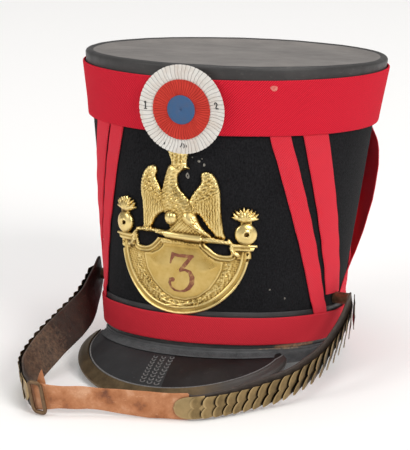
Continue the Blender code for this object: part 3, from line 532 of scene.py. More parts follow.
def tuft(centre, across, up, out, seed, hollow=0.0):
    # A flat irregular wisp: a ring or a disc of a few tenths of a millimetre
    turns = np.linspace(0, 2 * math.pi, 24, endpoint=False)
    ragged = 1.0 + 0.22 * wander(np.stack([np.cos(turns), np.sin(turns)], -1), 2.0, seed)
    rows = []
    for share, rise in ((hollow, 0.0), (0.5 * (1 + hollow), 0.25), (1.0, 0.0), (0.9, -0.3), (max(hollow, 0.05), -0.3)):
        side = share * ragged * across * np.cos(turns)
        height = centre[1] + share * ragged * up * np.sin(turns)
        angle = math.radians(centre[0]) + side / 105.0
        rows.append(feltPoint(angle, height, out(angle, height) + rise))
    return sweep(hatToWorld(np.stack(rows)), True)


def makeLint():
    parts = [tuft(row[:2], row[2], row[3], lambda angle, height: 0.12, i, 0.35 if i == 0 else 0.02)
             for i, row in enumerate(lint)]
    makePiece("feltLint", joinParts(parts), finishes["lint"])

    def onBand(angle, height):
        low, high = bandEdges(angle)
        rise = feltTop(angle)
        lean = (hat["topRadius"] - hat["baseSide"]) * (high - rise) / rise
        innerHigh = hat["topOverhang"] + 2 * hat["gap"] - lean
        innerLow = baseStrips["tape"] + 2 * hat["gap"]
        return innerLow + (innerHigh - innerLow) * (height - low) / (high - low) + topBand["thickness"] + 0.10

    mark = tuft(mothMark[:2], mothMark[2], mothMark[3], onBand, 31, 0.04)
    makePiece("bandMothMark", mark, finishes["faded"])
    print("lint done")


# Leather top: dished disc, rolled rim and a skirt that laps the felt

leatherTop = {"around": 300, "discRings": 26, "roll": 14.0, "dish": 3.0, "skirt": 14.0, "taper": 0.8, "wrinkle": 0.35}


def makeLeatherTop():
    edge = hat["topRadius"] + hat["topOverhang"]
    inner = hat["topRadius"] + 2 * hat["gap"]
    roll, dish, skirt = leatherTop["roll"], leatherTop["dish"], leatherTop["skirt"]
    disc = [(r, -dish) for r in np.linspace(1.0, edge - roll, leatherTop["discRings"])]
    turns = np.linspace(0, math.pi / 2, 9)
    rise = [(edge - roll + (roll - 4.6) * t, -dish + (dish - 0.7) * smooth(t)) for t in np.linspace(0.12, 1.0, 8)]
    rim = [(edge - 3.6 + 3.6 * math.sin(t), -2.6 + 2.6 * math.cos(t)) for t in turns]
    side = [(edge - leatherTop["taper"] * t, -2.6 - (skirt - 3.1) * t) for t in np.linspace(0.12, 1.0, 7)]
    side[2] = (side[2][0] - 0.35, side[2][1])
    hem = [(edge - leatherTop["taper"] - 0.4, -skirt), (inner - 0.4, -skirt)]
    back = [(inner - 0.7, -skirt + 0.5), (inner, -hat["topLeather"] - 1.2)]
    under = [(r, -dish - hat["topLeather"]) for r in np.linspace(edge - roll, 1.0, 8)]
    profile = np.array(disc + rise + rim + side + hem + back + under)
    # Rows of the disc and its rise, the part that takes the painted light
    paintedLitRows = len(disc) + len(rise) - 1
    angles = np.linspace(0, 2 * math.pi, leatherTop["around"], endpoint=False)
    radius, height = profile[:, :1], profile[:, 1:]
    flat = np.stack([radius * np.sin(angles), -radius * np.cos(angles)], -1)
    shown = (np.arange(len(profile)) < len(disc) + len(rise) + len(rim) + len(side))[:, None]
    wave = wander(flat, 70.0, 11) * 0.8 + wander(flat, 22.0, 12) * 0.25
    height = height + shown * leatherTop["wrinkle"] * wave * smooth(radius / 30.0) * smooth((edge + 1.5 - radius) / 8.0)
    back = flat[..., 1]
    rise = hat["rimHeight"] + back * math.tan(math.radians(hat["rimSlope"])) + height
    points = np.stack([flat[..., 0], hat["topShift"] + back, rise], -1)
    shape = sweep(hatToWorld(points))
    # The disc is painted paler than the rolled rim and the skirt, as painted light from above on its upward face; the
    # rim and skirt keep the darker leather
    points, faces = shape
    piece = makePiece("crownTopLeather", shape, finishes["top"], ["crown_top"])
    piece.data.materials.append(finishes["skirt"])
    around = leatherTop["around"]
    for face in piece.data.polygons:
        if face.vertices[0] // around >= paintedLitRows and len(face.vertices) == 4:
            face.material_index = 1
    print("leather top done")


# Wool bands round the crown

topBand = {"thickness": 1.4, "front": 199.4, "width": 40.0, "topSlope": 4.5, "lowSlope": 3.6, "around": 480,
           "rows": 15, "flutter": 0.45, "lap": 16.0, "seam": 176.0}
baseStrips = {"leather": 1.0, "leatherLow": -3.0, "leatherHigh": 30.0, "bandLow": 5.7, "bandHigh": 26.2,
              "band": 1.0, "tape": 1.0, "around": 420}


def bandEdges(angle):
    back = hat["topRadius"] * (1.0 - np.cos(angle))
    low = topBand["front"] - topBand["width"] + back * math.tan(math.radians(topBand["lowSlope"]))
    high = topBand["front"] + back * math.tan(math.radians(topBand["topSlope"]))
    return low, high


def bandPlace(angle, share, out):
    # A point on the top band: share 0 at its lower edge, 1 at its upper edge, out from its inner face
    low, high = bandEdges(angle)
    rise = feltTop(angle)
    lean = (hat["topRadius"] - hat["baseSide"]) * (high - rise) / rise
    innerLow = baseStrips["tape"] + 2 * hat["gap"]
    innerHigh = hat["topOverhang"] + 2 * hat["gap"] - lean
    height = low + (high - low) * share
    return feltPoint(angle, height, innerLow + (innerHigh - innerLow) * share + out)


def hemmed(share, thickness, soft):
    # Thickness across a strip that thins toward both edges
    edge = np.clip(np.minimum(share, 1.0 - share) / soft, 0.0, 1.0)
    return thickness * (0.45 + 0.55 * np.sqrt(1.0 - (1.0 - edge) ** 2))


def declareCloth(face, girth=0.0):
    # Joins the face's first column on after its last when a girth is given; it keeps and returns nothing
    if girth:
        face = np.concatenate([face, face[:, :1]], 1)


def makeTopBand():
    angles = np.linspace(0, 2 * math.pi, topBand["around"], endpoint=False)[None, :]
    shares = np.concatenate([[0.0, 0.012, 0.03], np.linspace(0.07, 0.93, topBand["rows"] - 6), [0.97, 0.988, 1.0]])[:, None]
    thick = hemmed(shares, topBand["thickness"], 0.03)
    sample = bandPlace(angles, shares, 0.0)
    flutter = topBand["flutter"] * (0.5 + 0.5 * wander(sample, 44.0, 21)) * (1.0 - smooth(shares * 3.0))
    outer = bandPlace(angles, shares, thick + flutter)
    inner = bandPlace(angles, shares, flutter * 0.9)
    girth = 2 * math.pi * hat["topRadius"]
    run = np.broadcast_to(angles / (2 * math.pi) * girth, outer.shape[:2])
    rise = np.broadcast_to(shares * topBand["width"], outer.shape[:2])
    flat = np.stack([run, rise], -1).reshape(-1, 2) * mm
    shape = thickSheet(hatToWorld(outer), hatToWorld(inner), True)
    piece = makePiece("topBandWool", shape, finishes["topBand"], ["top_band"], np.concatenate([flat, flat]),
                      girth * mm)
    run = float(np.linalg.norm(np.diff(np.concatenate([outer[-1], outer[-1, :1]]), axis=0), axis=1).sum())
    declareCloth(outer, run)
    print("top band done")


def makeBaseStrips():
    around = np.linspace(0, 2 * math.pi, baseStrips["around"], endpoint=False)[None, :]
    shares = np.concatenate([[0.0, 0.015, 0.04], np.linspace(0.1, 0.9, 8), [0.96, 0.985, 1.0]])[:, None]
    leatherIn = hat["gap"]
    low, high = baseStrips["leatherLow"], baseStrips["leatherHigh"]
    height = low + (high - low) * shares
    thick = hemmed(shares, baseStrips["leather"], 0.03)
    place = feltPoint(around, height + 0.0 * around, 0.0)
    slack = 0.12 * (wander(place, 30.0, 31) - 1.0)
    outer = feltPoint(around, height, leatherIn + thick + slack)
    inner = feltPoint(around, height, leatherIn - 0.1 + 0.0 * around)
    turn, rise = np.degrees((around + math.pi) % (2 * math.pi) - math.pi), height + 0 * around
    rubbed = 0.75 * smooth((turn - 42.0) / 7.0) * smooth((74.0 - turn) / 6.0) * smooth((6.5 - rise) / 2.0)
    shape = thickSheet(hatToWorld(outer), hatToWorld(inner), True)
    makePiece("baseLeather", shape, finishes["black"], ["base_leather"],
              marks={"worn": np.tile(rubbed.ravel(), 2)})

    bandIn = 3 * hat["gap"] + baseStrips["leather"] + baseStrips["tape"]
    low, high = baseStrips["bandLow"], baseStrips["bandHigh"]
    thick = hemmed(shares, baseStrips["band"], 0.05)
    wave = 0.35 * wander(place, 60.0, 32)
    height = low + (high - low) * shares + wave * (shares - 0.5)
    outer = feltPoint(around, height, bandIn + thick)
    inner = feltPoint(around, height, bandIn + 0.0 * around)
    girth = math.pi * (hat["baseSide"] + hat["baseFront"])
    run = np.broadcast_to(around / (2 * math.pi) * girth, outer.shape[:2])
    rise = np.broadcast_to(shares * (high - low), outer.shape[:2])
    flat = np.stack([run, rise], -1).reshape(-1, 2) * mm
    piece = makePiece("baseBandWool", thickSheet(hatToWorld(outer), hatToWorld(inner), True), finishes["baseBand"],
                      ["base_band"], np.concatenate([flat, flat]), girth * mm)
    run = float(np.linalg.norm(np.diff(np.concatenate([outer[-1], outer[-1, :1]]), axis=0), axis=1).sum())
    declareCloth(outer, run)
    print("base strips done")


# Wool tapes down the sides. Arc from the front at the band and at the base, in mm

tapeSettings = {"thickness": 1.0, "tuck": 4.0, "narrow": 15.5, "wide": 22.0, "rest": 2.0, "climb": 6.0,
                "endRise": 9.5, "rows": 70, "cols": 9}
# piece, CAD node, side, top arc, base arc, width, tucked in below, behind the side, bows out
tapes = [
    ("tapeRightFront", "tape_right_front", 1, 71.54, 115.0, "narrow", True, False, False),
    ("tapeRightBack", "tape_right_back", 1, 71.54, 115.0, "narrow", True, True, False),
    ("tapeRightMid", "tape_right_mid", 1, 101.54, 138.04, "wide", False, False, False),
    ("tapeRightLoose", "tape_right_loose", 1, 101.54, 138.04, "wide", False, True, True),
    ("tapeLeftFront", "tape_left_front", -1, 61.47, 95.96, "narrow", True, False, False),
    ("tapeLeftBack", "tape_left_back", -1, 61.47, 95.96, "narrow", True, True, False),
    ("tapeLeftMid", "tape_left_mid", -1, 82.98, 121.0, "wide", False, False, False),
    ("tapeLeftRear", "tape_left_rear", -1, 82.98, 121.0, "wide", False, True, False),
]


def makeTape(piece, node, side, topArc, baseArc, width, tucked, behind):
    leatherTopEdge = baseStrips["leatherHigh"]
    bandLow = float(bandEdges(0.0)[0])
    topArc, baseArc = side * topArc, side * baseArc
    half = 0.5 * tapeSettings[width] / math.cos(math.atan2(baseArc - topArc, bandLow - leatherTopEdge))
    topAngle = float(arcTable.angle(topArc, bandLow))
    if behind:
        topAngle = math.copysign(math.pi, topAngle) - topAngle
    high = float(bandEdges(topAngle)[0]) + tapeSettings["tuck"]
    low = baseStrips["bandHigh"] - tapeSettings["tuck"] if tucked else leatherTopEdge + tapeSettings["endRise"]
    height = np.linspace(high, low, tapeSettings["rows"])[:, None]
    across = np.concatenate([[-1.0, -0.94], np.linspace(-0.8, 0.8, tapeSettings["cols"] - 4), [0.94, 1.0]])[None, :]
    middle = topArc + (baseArc - topArc) * (bandLow - height) / (bandLow - leatherTopEdge)
    spot = np.stack([height + 0 * across, across * half + 0 * height], -1)
    edge = 0.35 * wander(spot[:, :1], 26.0, len(piece)) * np.abs(across)
    angle = arcTable.angle(middle + side * across * half + edge, height + 0 * across)
    if behind:
        angle = np.copysign(math.pi, angle) - angle
    climb = 1.0 - smooth((height - leatherTopEdge - tapeSettings["rest"]) / tapeSettings["climb"])
    under = hat["gap"] + (baseStrips["leather"] + hat["gap"]) * climb
    ripple = 0.18 * (1 + wander(spot, 17.0, 41)) * smooth((high - height) / 8.0) * smooth((height - low) / 10.0)
    base = under + ripple
    thick = hemmed((across + 1) / 2, tapeSettings["thickness"], 0.06)
    outer = feltPoint(angle, height + 0 * across, base + thick)
    inner = feltPoint(angle, height + 0 * across, base + 0 * thick)
    flat = np.stack([across * half + 0 * height, height + 0 * across], -1).reshape(-1, 2) * mm
    made = makePiece(piece, thickSheet(hatToWorld(outer), hatToWorld(inner)), finishes["tape"], [node],
                     np.concatenate([flat, flat]))
    declareCloth(outer)


# The loose tape stands off the felt, its front edge far out and its rear edge behind the hat: height
# and how far the front edge stands out, in mm
looseTape = {"view": 20.35, "behind": 6.0, "width": 22.0, "low": 33.0, "slit": 1.5, "rows": 90, "cols": 11}
looseOut = np.array([(33.0, 1.0), (48.5, 1.6), (57.9, 3.6), (69.8, 5.9), (81.6, 8.2), (93.5, 9.4), (105.3, 10.9),
                     (117.2, 11.0), (133.0, 10.6), (144.8, 8.6), (156.7, 5.0), (165.0, 1.5)])


def makeLooseTape():
    name, node, side, topArc, baseArc = tapes[3][:5]
    bandLow = float(bandEdges(0.0)[0])
    leatherTopEdge = baseStrips["leatherHigh"]
    half = 0.5 * looseTape["width"] / math.cos(math.atan2(baseArc - topArc, bandLow - leatherTopEdge))
    topAngle = math.pi - float(arcTable.angle(topArc, bandLow))
    high = float(bandEdges(topAngle)[0]) + tapeSettings["tuck"]
    height = np.linspace(high, looseTape["low"], looseTape["rows"])[:, None]
    across = np.linspace(1.0, -1.0, looseTape["cols"])[None, :]
    middle = topArc + (baseArc - topArc) * (bandLow - height) / (bandLow - leatherTopEdge)
    angle = math.pi - arcTable.angle(middle + across * half, height + 0 * across)
    climb = 1.0 - smooth((height - leatherTopEdge - tapeSettings["rest"]) / tapeSettings["climb"])
    onFelt = feltPoint(angle, height + 0 * across, hat["gap"] + (baseStrips["leather"] + hat["gap"]) * climb)
    # The free part, measured from the side of the felt that is farthest out as seen from the front
    view = math.radians(looseTape["view"])
    aside = np.array([math.cos(view), math.sin(view), 0.0])
    away = np.array([-math.sin(view), math.cos(view), 0.0])
    ring = feltPoint(np.radians(np.linspace(80, 140, 241))[None, :], height)
    best = (ring @ aside).argmax(axis=1)
    edge = ring[np.arange(len(ring)), best][:, None, :]
    out = np.interp(height, looseOut[:, 0], looseOut[:, 1])
    back = (1.0 - across) / 2
    reach = np.sqrt(looseTape["width"] ** 2 - out ** 2)
    slit = 0.4 + looseTape["slit"] * smooth((height - 55.0) / 20.0) * smooth((150.0 - height) / 20.0)
    free = edge + aside * (out * (1 - back) + slit * back)[..., None]
    free = free + away * (looseTape["behind"] + back * reach)[..., None]
    loose = (smooth((high - 1.0 - height) / 24.0) * smooth((height - 40.0) / 24.0))[..., None]
    base = onFelt * (1 - loose) + free * loose
    normal = np.cross(np.gradient(base, axis=1), np.gradient(base, axis=0))
    normal /= np.linalg.norm(normal, axis=-1, keepdims=True)
    normal *= np.sign((normal * edge).sum(-1, keepdims=True))
    outer = base + normal * hemmed((across + 1) / 2, tapeSettings["thickness"], 0.08)[..., None]
    flat = np.stack([across * half + 0 * height, height + 0 * across], -1).reshape(-1, 2) * mm
    piece = makePiece(name, thickSheet(hatToWorld(outer), hatToWorld(base)), finishes["tape"], [node],
                      np.concatenate([flat, flat]))
    declareCloth(outer)


def makeTapes():
    for row in tapes:
        if row[8]:
            makeLooseTape()
        else:
            makeTape(*row[:8])
    print("tapes done:", len(tapes))


# Peak, its seam and its brass binding

peak = {"reach": 39.0, "drop": 30.6, "leather": 2.0, "arch": 1.6, "halfAngle": 58.0, "turn": -6.5, "top": -1.0,
        "sideSlope": 0.6, "endShare": 0.965, "stations": 130, "across": 22}
binding = {"width": 9.5, "under": 5.0, "metal": 0.9, "lip": 1.5, "bead": 0.0}


def peakShares(count):
    return np.sin(np.linspace(-0.5, 0.5, count) * math.pi)


def peakStation(share):
    # Inner and outer edge of the leather and its upward normal, at shares of -1 to 1
    share = share * peak["endShare"]
    angle = math.radians(peak["halfAngle"]) * share + math.radians(peak["turn"])
    inner = feltPoint(angle, peak["top"], 2 * hat["gap"] + baseStrips["leather"])
    way = np.stack([np.sin(angle) * hat["baseFront"], -np.cos(angle) * hat["baseSide"], 0 * angle], -1)
    way /= np.linalg.norm(way, axis=-1, keepdims=True)
    fall = np.cos(share * math.pi / 2)
    reach = peak["reach"] * np.sqrt(fall)
    drop = reach * peak["drop"] / peak["reach"] * (1.0 - (1.0 - peak["sideSlope"]) * (1.0 - fall))
    outer = inner + way * reach[..., None] - np.stack([0 * drop, 0 * drop, drop], -1)
    along = np.stack([np.cos(angle), np.sin(angle), 0 * angle], -1)
    normal = np.cross(along, outer - inner)
    normal /= np.linalg.norm(normal, axis=-1, keepdims=True)
    return inner, outer, normal * np.sign(normal[..., 2:])


def peakTop(share, across, lift=0.0):
    # A point on the peak's upper face: across 0 at the hat, 1 at the outer edge
    inner, outer, normal = peakStation(share)
    length = np.linalg.norm(outer - inner, axis=-1)
    arch = 4 * peak["arch"] * length / peak["reach"] * across * (1 - across)
    return inner + (outer - inner) * across[..., None] + normal * (arch + lift)[..., None]


# The welt along the peak's inner edge, the worked columns and the stitches beside the binding, in mm
peakWork = {"weltStart": -63.0, "weltEnd": 82.0, "weltWide": 6.2, "weltThick": 0.8, "hang": 8.5, "rib": 0.2,
            "marks": 9, "markSize": 1.45, "markHalf": 0.42, "stitch": 1.1, "away": 1.1}
# Each column of marks from the welt to the binding: share and across at both ends
markColumns = [((-0.040, 0.20), (-0.030, 0.69)), ((0.028, 0.19), (0.022, 0.70)), ((0.097, 0.18), (0.072, 0.71))]


def weltPoint(angle, across, out):
    # across 0 on the base leather, 1 on the peak; past the peak's end it hangs down
    share = (np.degrees(angle) - peak["turn"]) / peak["halfAngle"] / peak["endShare"]
    onPeak = smooth((1.0 - np.abs(share)) / 0.10)
    inside = np.clip(share, -1.0, 1.0)
    inner, outer, normal = peakStation(inside)
    length = np.linalg.norm(outer - inner, axis=-1)
    wide = np.minimum(peakWork["weltWide"], 0.5 * length)
    laid = peakTop(inside, wide / length, 0.25)
    stand = hat["gap"] + baseStrips["leather"]
    turn = np.degrees(angle)
    hang = peakWork["hang"] * smooth(share) * smooth((peakWork["weltEnd"] - turn) / 22.0)
    low = feltPoint(angle, -1.0 - hang, stand + 0.6)
    low = low + (laid - low) * onPeak[..., None]
    high = feltPoint(angle, 2.6, stand + 0.1)
    corner = feltPoint(angle, -0.4, stand + 0.5)
    t = across[..., None]
    place = high * (1 - t) ** 2 + 2 * corner * t * (1 - t) + low * t * t
    face = normal * onPeak[..., None] + (feltPoint(angle, 0.0, 1.0) - feltPoint(angle, 0.0)) * 1.0
    face /= np.linalg.norm(face, axis=-1, keepdims=True)
    return place + face * out[..., None]


def makePeakWork():
    angle = np.radians(np.linspace(peakWork["weltStart"], peakWork["weltEnd"], 620))[:, None]
    across = np.linspace(0.0, 1.0, 17)[None, :]
    angle, across = np.broadcast_arrays(angle, across)
    thick = hemmed(across, peakWork["weltThick"], 0.12)
    folds = 0.30 * np.exp(-((across - 0.34) / 0.05) ** 2) - 0.22 * np.exp(-((across - 0.24) / 0.05) ** 2)
    ribs = peakWork["rib"] * np.cos(angle * 96.0 / 1.15 * 2 * math.pi / 1.0) * smooth((across - 0.42) / 0.1)
    outer = weltPoint(angle, across, thick + folds + ribs * smooth((1.0 - across) / 0.06))
    inner = weltPoint(angle, across, 0.0 * across)
    turn = np.degrees(angle)
    rubbed = smooth((turn - 30.0) / 12.0) * smooth((64.0 - turn) / 6.0) * smooth((0.22 - across) / 0.12) * 0.62
    makePiece("peakWelt", thickSheet(hatToWorld(outer), hatToWorld(inner)), finishes["welt"],
              marks={"worn": np.tile(rubbed.ravel(), 2)})

    # Small open loops pressed in three columns
    parts = []
    size, half = peakWork["markSize"], peakWork["markHalf"]
    for (startShare, startAcross), (endShare, endAcross) in markColumns:
        for t in np.linspace(0.0, 1.0, peakWork["marks"]):
            share = np.array([startShare + (endShare - startShare) * t])
            place = startAcross + (endAcross - startAcross) * t
            inner, outer, _ = peakStation(share)
            length = float(np.linalg.norm(outer - inner))
            girth = math.radians(peak["halfAngle"]) * hat["baseFront"]
            turns = np.radians(np.linspace(-20, 200, 9))
            loop = [(np.cos(turns) * r, np.sin(turns) * r * 0.95) for r in (size - half, size, size + half)]
            rows = []
            for x, y in loop:
                rows.append(np.stack([x / girth + share[0], place + y / length], -1))
            lift = (0.10, 0.42, 0.10)
            top = np.stack([peakTop(row[:, 0], row[:, 1], rise) for row, rise in zip(rows, lift)], 1)
            low = np.stack([peakTop(row[:, 0], row[:, 1], -0.3) for row in rows], 1)
            parts.append(thickSheet(hatToWorld(top), hatToWorld(low)))
    # Stitches beside the binding
    share = peakShares(1500)[40:-40, None]
    inner, outer, _ = peakStation(share)
    length = np.linalg.norm(outer - inner, axis=-1)
    edge = 1.0 - (np.minimum(binding["width"], 0.5 * length) + peakWork["away"]) / length
    across = np.linspace(-0.5, 0.5, 5)[None, :]
    bead = 0.5 + 0.5 * np.cos(share * math.radians(peak["halfAngle"]) * 118.0 / peakWork["stitch"] * 2 * math.pi)
    lift = 0.16 + 0.30 * np.sqrt(1.0 - (2 * across * 0.95) ** 2) * (0.35 + 0.65 * bead)
    place = edge + across * 1.2 / length
    top = peakTop(share + 0 * across, place, lift)
    low = peakTop(share + 0 * across, place, -0.3 + 0 * lift)
    parts.append(thickSheet(hatToWorld(top), hatToWorld(low)))
    makePiece("peakStitches", joinParts(parts), finishes["thread"])


def makePeak():
    share = peakShares(peak["stations"])[:, None]
    across = np.linspace(0, 1, peak["across"])[None, :]
    share, across = np.broadcast_arrays(share, across)
    place = peakTop(share, across)
    swell = 0.25 * wander(place, 26.0, 51) * np.sin(math.pi * across)
    outer = peakTop(share, across, swell - 0.15 * np.sin(math.pi * across))
    inner = peakTop(share, across, swell - peak["leather"])
    piece = makePiece("peakLeather", thickSheet(hatToWorld(outer), hatToWorld(inner)), finishes["peak"],
                      ["peak"])
    # Right of the worked columns the leather is darker
    piece.data.materials.append(finishes["peakRight"])
    for face in piece.data.polygons:
        row, col = divmod(face.vertices[0] % share.size, peak["across"])
        if share[row, 0] > 0.11 - 0.03 * col / peak["across"]:
            face.material_index = 1
    makePeakWork()

    # Brass binding: a folded sheet whose section follows the leather's edge
    shares = peakShares(peak["stations"])
    start, end, normal = peakStation(shares)
    length = np.linalg.norm(end - start, axis=-1)[:, None]
    slope = (end - start) / length
    wide = np.minimum(binding["width"], 0.5 * length)
    below = np.minimum(binding["under"], 0.4 * length)
    arch = 4 * peak["arch"] * length / peak["reach"]
    gap, metal, lip, bead = hat["gap"], binding["metal"], binding["lip"], binding["bead"]
    bottom = peak["leather"] + gap
    turn = np.linspace(0.06, 0.94, 9) * math.pi
    topRun = np.linspace(1.0, 0.12, 9)
    rows = []
    for t in topRun:
        bulge = arch * (wide * t / length) * (1 - wide * t / length)
        crest = 0.35 * math.exp(-((t - 0.93) / 0.05) ** 2) + 0.25 * math.exp(-((t - 0.3) / 0.2) ** 2)
        rows.append((-wide * t, gap + bulge + metal + crest))
    middle = 0.5 * (metal + gap - bottom - metal)
    radius = 0.5 * (metal + gap + bottom + metal)
    for a in turn:
        rows.append((0 * wide + gap + (metal + bead) * math.sin(a), middle + radius * math.cos(a) + 0 * wide))
    for t in (0.2, 0.6, 1.0):
        rows.append((-below * t, 0 * wide - bottom - metal))
    rows.append((-below, 0 * wide - bottom))
    rows.append((0 * wide + gap * 0.6, 0 * wide - bottom))
    rows.append((0 * wide + gap * 0.6, 0 * wide + gap))
    for t in topRun[::-1]:
        bulge = arch * (wide * t / length) * (1 - wide * t / length)
        rows.append((-wide * t, gap + bulge))
    sections = np.stack([end + slope * s + normal * n for s, n in rows], 1)
    # Toward the right end the binding turns dark grey
    greyed = np.repeat(0.9 * smooth((shares - 0.24) / 0.3), len(rows))
    makePiece("peakBinding", sweep(hatToWorld(sections)), finishes["dull"], ["peak_rim"],
              marks={"greyed": greyed})
    print("peak done")


# Pleated cockade: a white disc, a smaller red one on it and a blue one at the middle

cockade = {"white": 32.4, "red": 21.8, "blue": 10.6, "height": 177.3, "shift": 0.93, "pleats": 62, "perPleat": 8,
           "deep": 0.55, "sheet": 0.5}


# The inked numerals left and right on the white ring, and the stitches below: lines and half widths, in mm
cockadeInk = [
    ([(-28.4, 3.2), (-27.7, 4.2), (-27.6, 1.6), (-27.6, -0.9)], 0.42),
    ([(-28.8, -1.0), (-27.6, -1.1), (-26.4, -1.0)], 0.30),
    ([(25.0, 5.4), (25.6, 6.6), (26.8, 6.3), (27.0, 5.0), (26.3, 3.4), (26.6, 2.2)], 0.38),
    ([(26.4, 2.2), (27.4, 2.6), (28.2, 2.2)], 0.34),
    ([(-1.2, -27.6), (-0.2, -26.0), (0.2, -24.4)], 0.28), ([(1.6, -28.2), (2.0, -26.4), (1.4, -24.8)], 0.30),
    ([(3.8, -27.4), (3.6, -25.8)], 0.26), ([(-13.4, -26.4), (-12.8, -25.0)], 0.30),
]


def cockadeFrame():
    # Centre and the three axes: across, up the band and out of its face, in the hat's frame
    low, high = [float(value) for value in bandEdges(0.0)]
    foot = bandPlace(0.0, 0.0, topBand["thickness"])
    head = bandPlace(0.0, 1.0, topBand["thickness"])
    slope = (head - foot) / np.linalg.norm(head - foot)
    side = np.array([1.0, 0.0, 0.0])
    face = np.cross(side, slope)
    centre = foot + slope * ((cockade["height"] - foot[2]) / slope[2]) + face * 2 * hat["gap"]
    centre[0] = cockade["shift"]
    return centre, side, slope, face


def cockadePlace(x, y, out):
    centre, side, slope, face = cockadeFrame()
    x, y, out = [np.asarray(a, float)[..., None] for a in np.broadcast_arrays(x, y, out)]
    return centre + side * x + slope * y + face * out


def cockadeWarp(x, y):
    return 0.5 * wander(np.stack([x, y], -1), 30.0, 63) * smooth(np.hypot(x, y) / cockade["white"])


def inkStroke(points, half, out):
    # A thin dark line that lies on the cockade
    points = curveThrough(points, False, 4)
    along = np.gradient(points, axis=0)
    along /= np.linalg.norm(along, axis=1, keepdims=True)
    side = np.stack([-along[:, 1], along[:, 0]], -1) * half
    rise = out + cockadeWarp(points[:, 0], points[:, 1])
    corners = [(points + side * s, rise + h) for s, h in ((-1, 0.0), (1, 0.0), (1, -0.5), (-1, -0.5))]
    return sweep(hatToWorld(np.stack([cockadePlace(p[:, 0], p[:, 1], r) for p, r in corners], 1)))


def pleatedDisc(inner, outer, base, seed, rings=18, deep=1.0):
    # One pleated disc: folds that deepen outward, with uneven spacing, and a thin sheet's thickness
    draw = np.random.default_rng(seed)
    pleats, fine = cockade["pleats"], cockade["perPleat"]
    edges = np.cumsum(draw.uniform(0.75, 1.25, pleats))
    edges = np.concatenate([[0.0], edges]) / edges[-1] * 2 * math.pi
    ramp = np.arange(fine) / fine
    angle = (edges[:-1, None] + np.diff(edges)[:, None] * ramp).ravel()
    fold = np.tile(np.interp(ramp, [0.0, 0.12, 0.72, 0.88, 1.0], [0.0, 0.75, 1.0, 0.55, 0.0]), pleats)
    uneven = np.repeat(draw.uniform(0.7, 1.15, pleats), fine)
    radius = np.linspace(inner, outer, rings)[:, None]
    share = radius / cockade["white"]
    lift = deep * cockade["deep"] * fold * uneven * smooth(share * 2.2)
    edge = radius + 0.35 * (fold - 0.6) * smooth((radius - outer + 2.5) / 2.5)
    turn = angle[None, :] + 0.012 * np.sin(radius * 0.5 + seed)
    x, y = edge * np.sin(turn), edge * np.cos(turn)
    warp = cockadeWarp(x, y)
    rise = base + lift + warp + 0.35
    top = cockadePlace(x, y, rise)
    under = cockadePlace(x, y, rise - cockade["sheet"])
    points, faces = thickSheet(hatToWorld(top), hatToWorld(under), True)
    # The fold mark, low in the pleats' valleys, sets where the paper finish paints shade
    marks = np.concatenate([(fold * np.ones_like(radius)).ravel()] * 2)
    return points, faces, marks


def makeCockade():
    discs = [
        pleatedDisc(8.0, cockade["white"], 0.45, 61, 24),
        pleatedDisc(6.0, cockade["red"], 1.35, 62, 20, 0.9),
    ]
    blue = cockade["blue"]
    turns = np.linspace(0, 2 * math.pi, 96, endpoint=False)
    profile = [(0.4, 0.15), (0.9, 0.75), (1.6, 1.0), (4.0, 1.05), (7.5, 1.0), (blue - 1.2, 0.9), (blue - 0.4, 0.65),
               (blue, 0.2), (blue - 0.3, -0.6), (0.4, -0.6)]
    rows = [cockadePlace(r * np.sin(turns), r * np.cos(turns), 2.2 + h) for r, h in profile]
    button = sweep(hatToWorld(np.stack(rows)))
    points, faces = joinParts([disc[:2] for disc in discs] + [button])
    marks = np.concatenate([disc[2] for disc in discs] + [np.full(len(button[0]), 0.8)])
    piece = makePiece("cockadeDisc", (points, faces), finishes["white"], ["cockade"],
                      marks={"fold": marks}, sharp=30)
    piece.data.materials.append(finishes["red"])
    piece.data.materials.append(finishes["blue"])
    first, second = len(discs[0][0]), len(discs[0][0]) + len(discs[1][0])
    for face in piece.data.polygons:
        start = face.vertices[0]
        face.material_index = 0 if start < first else 1 if start < second else 2
    ink = [inkStroke(points, half, 1.55) for points, half in cockadeInk]
    makePiece("cockadeInk", joinParts(ink), finishes["ink"])
    print("cockade done")


# Brass plate: a height field on a flat grid, cut to its outline and laid on the felt.
# x runs across and y up from the hat's base, in mm, before the plate is rolled a little

plate = {"cell": 0.45, "sheet": 1.1, "roll": 3.3, "shift": 2.2, "shieldTop": 82.0, "climb": 12.0,
         "lean": -3.83, "leanX": -3.0, "leanY": 88.75, "radius": 52.2, "middle": 78.6}


def curveThrough(points, closed=True, steps=6):
    points = np.asarray(points, float)
    if closed:
        knots = np.concatenate([points[-1:], points, points[:2]])
    else:
        knots = np.concatenate([2 * points[:1] - points[1:2], points, 2 * points[-1:] - points[-2:-1]])
    made = []
    for a, b, c, d in zip(knots, knots[1:], knots[2:], knots[3:]):
        for t in np.arange(steps) / steps:
            made.append(0.5 * (2 * b + (c - a) * t + (2 * a - 5 * b + 4 * c - d) * t * t
                               + (3 * b - a - 3 * c + d) * t ** 3))
    if not closed:
        made.append(points[-1])
    return np.array(made)


def outlineDistance(x, y, points):
    # Distance to a closed outline in mm, negative inside it
    best = np.full(x.shape, 1e9)
    inside = np.zeros(x.shape, bool)
    for (ax, ay), (bx, by) in zip(points, np.roll(points, -1, 0)):
        dx, dy = bx - ax, by - ay
        t = np.clip(((x - ax) * dx + (y - ay) * dy) / max(dx * dx + dy * dy, 1e-12), 0, 1)
        best = np.minimum(best, (x - ax - t * dx) ** 2 + (y - ay - t * dy) ** 2)
        if ay != by:
            crosses = ((ay > y) != (by > y)) & (x < (bx - ax) * (y - ay) / (by - ay) + ax)
            inside ^= crosses
    return np.where(inside, -1.0, 1.0) * np.sqrt(best)


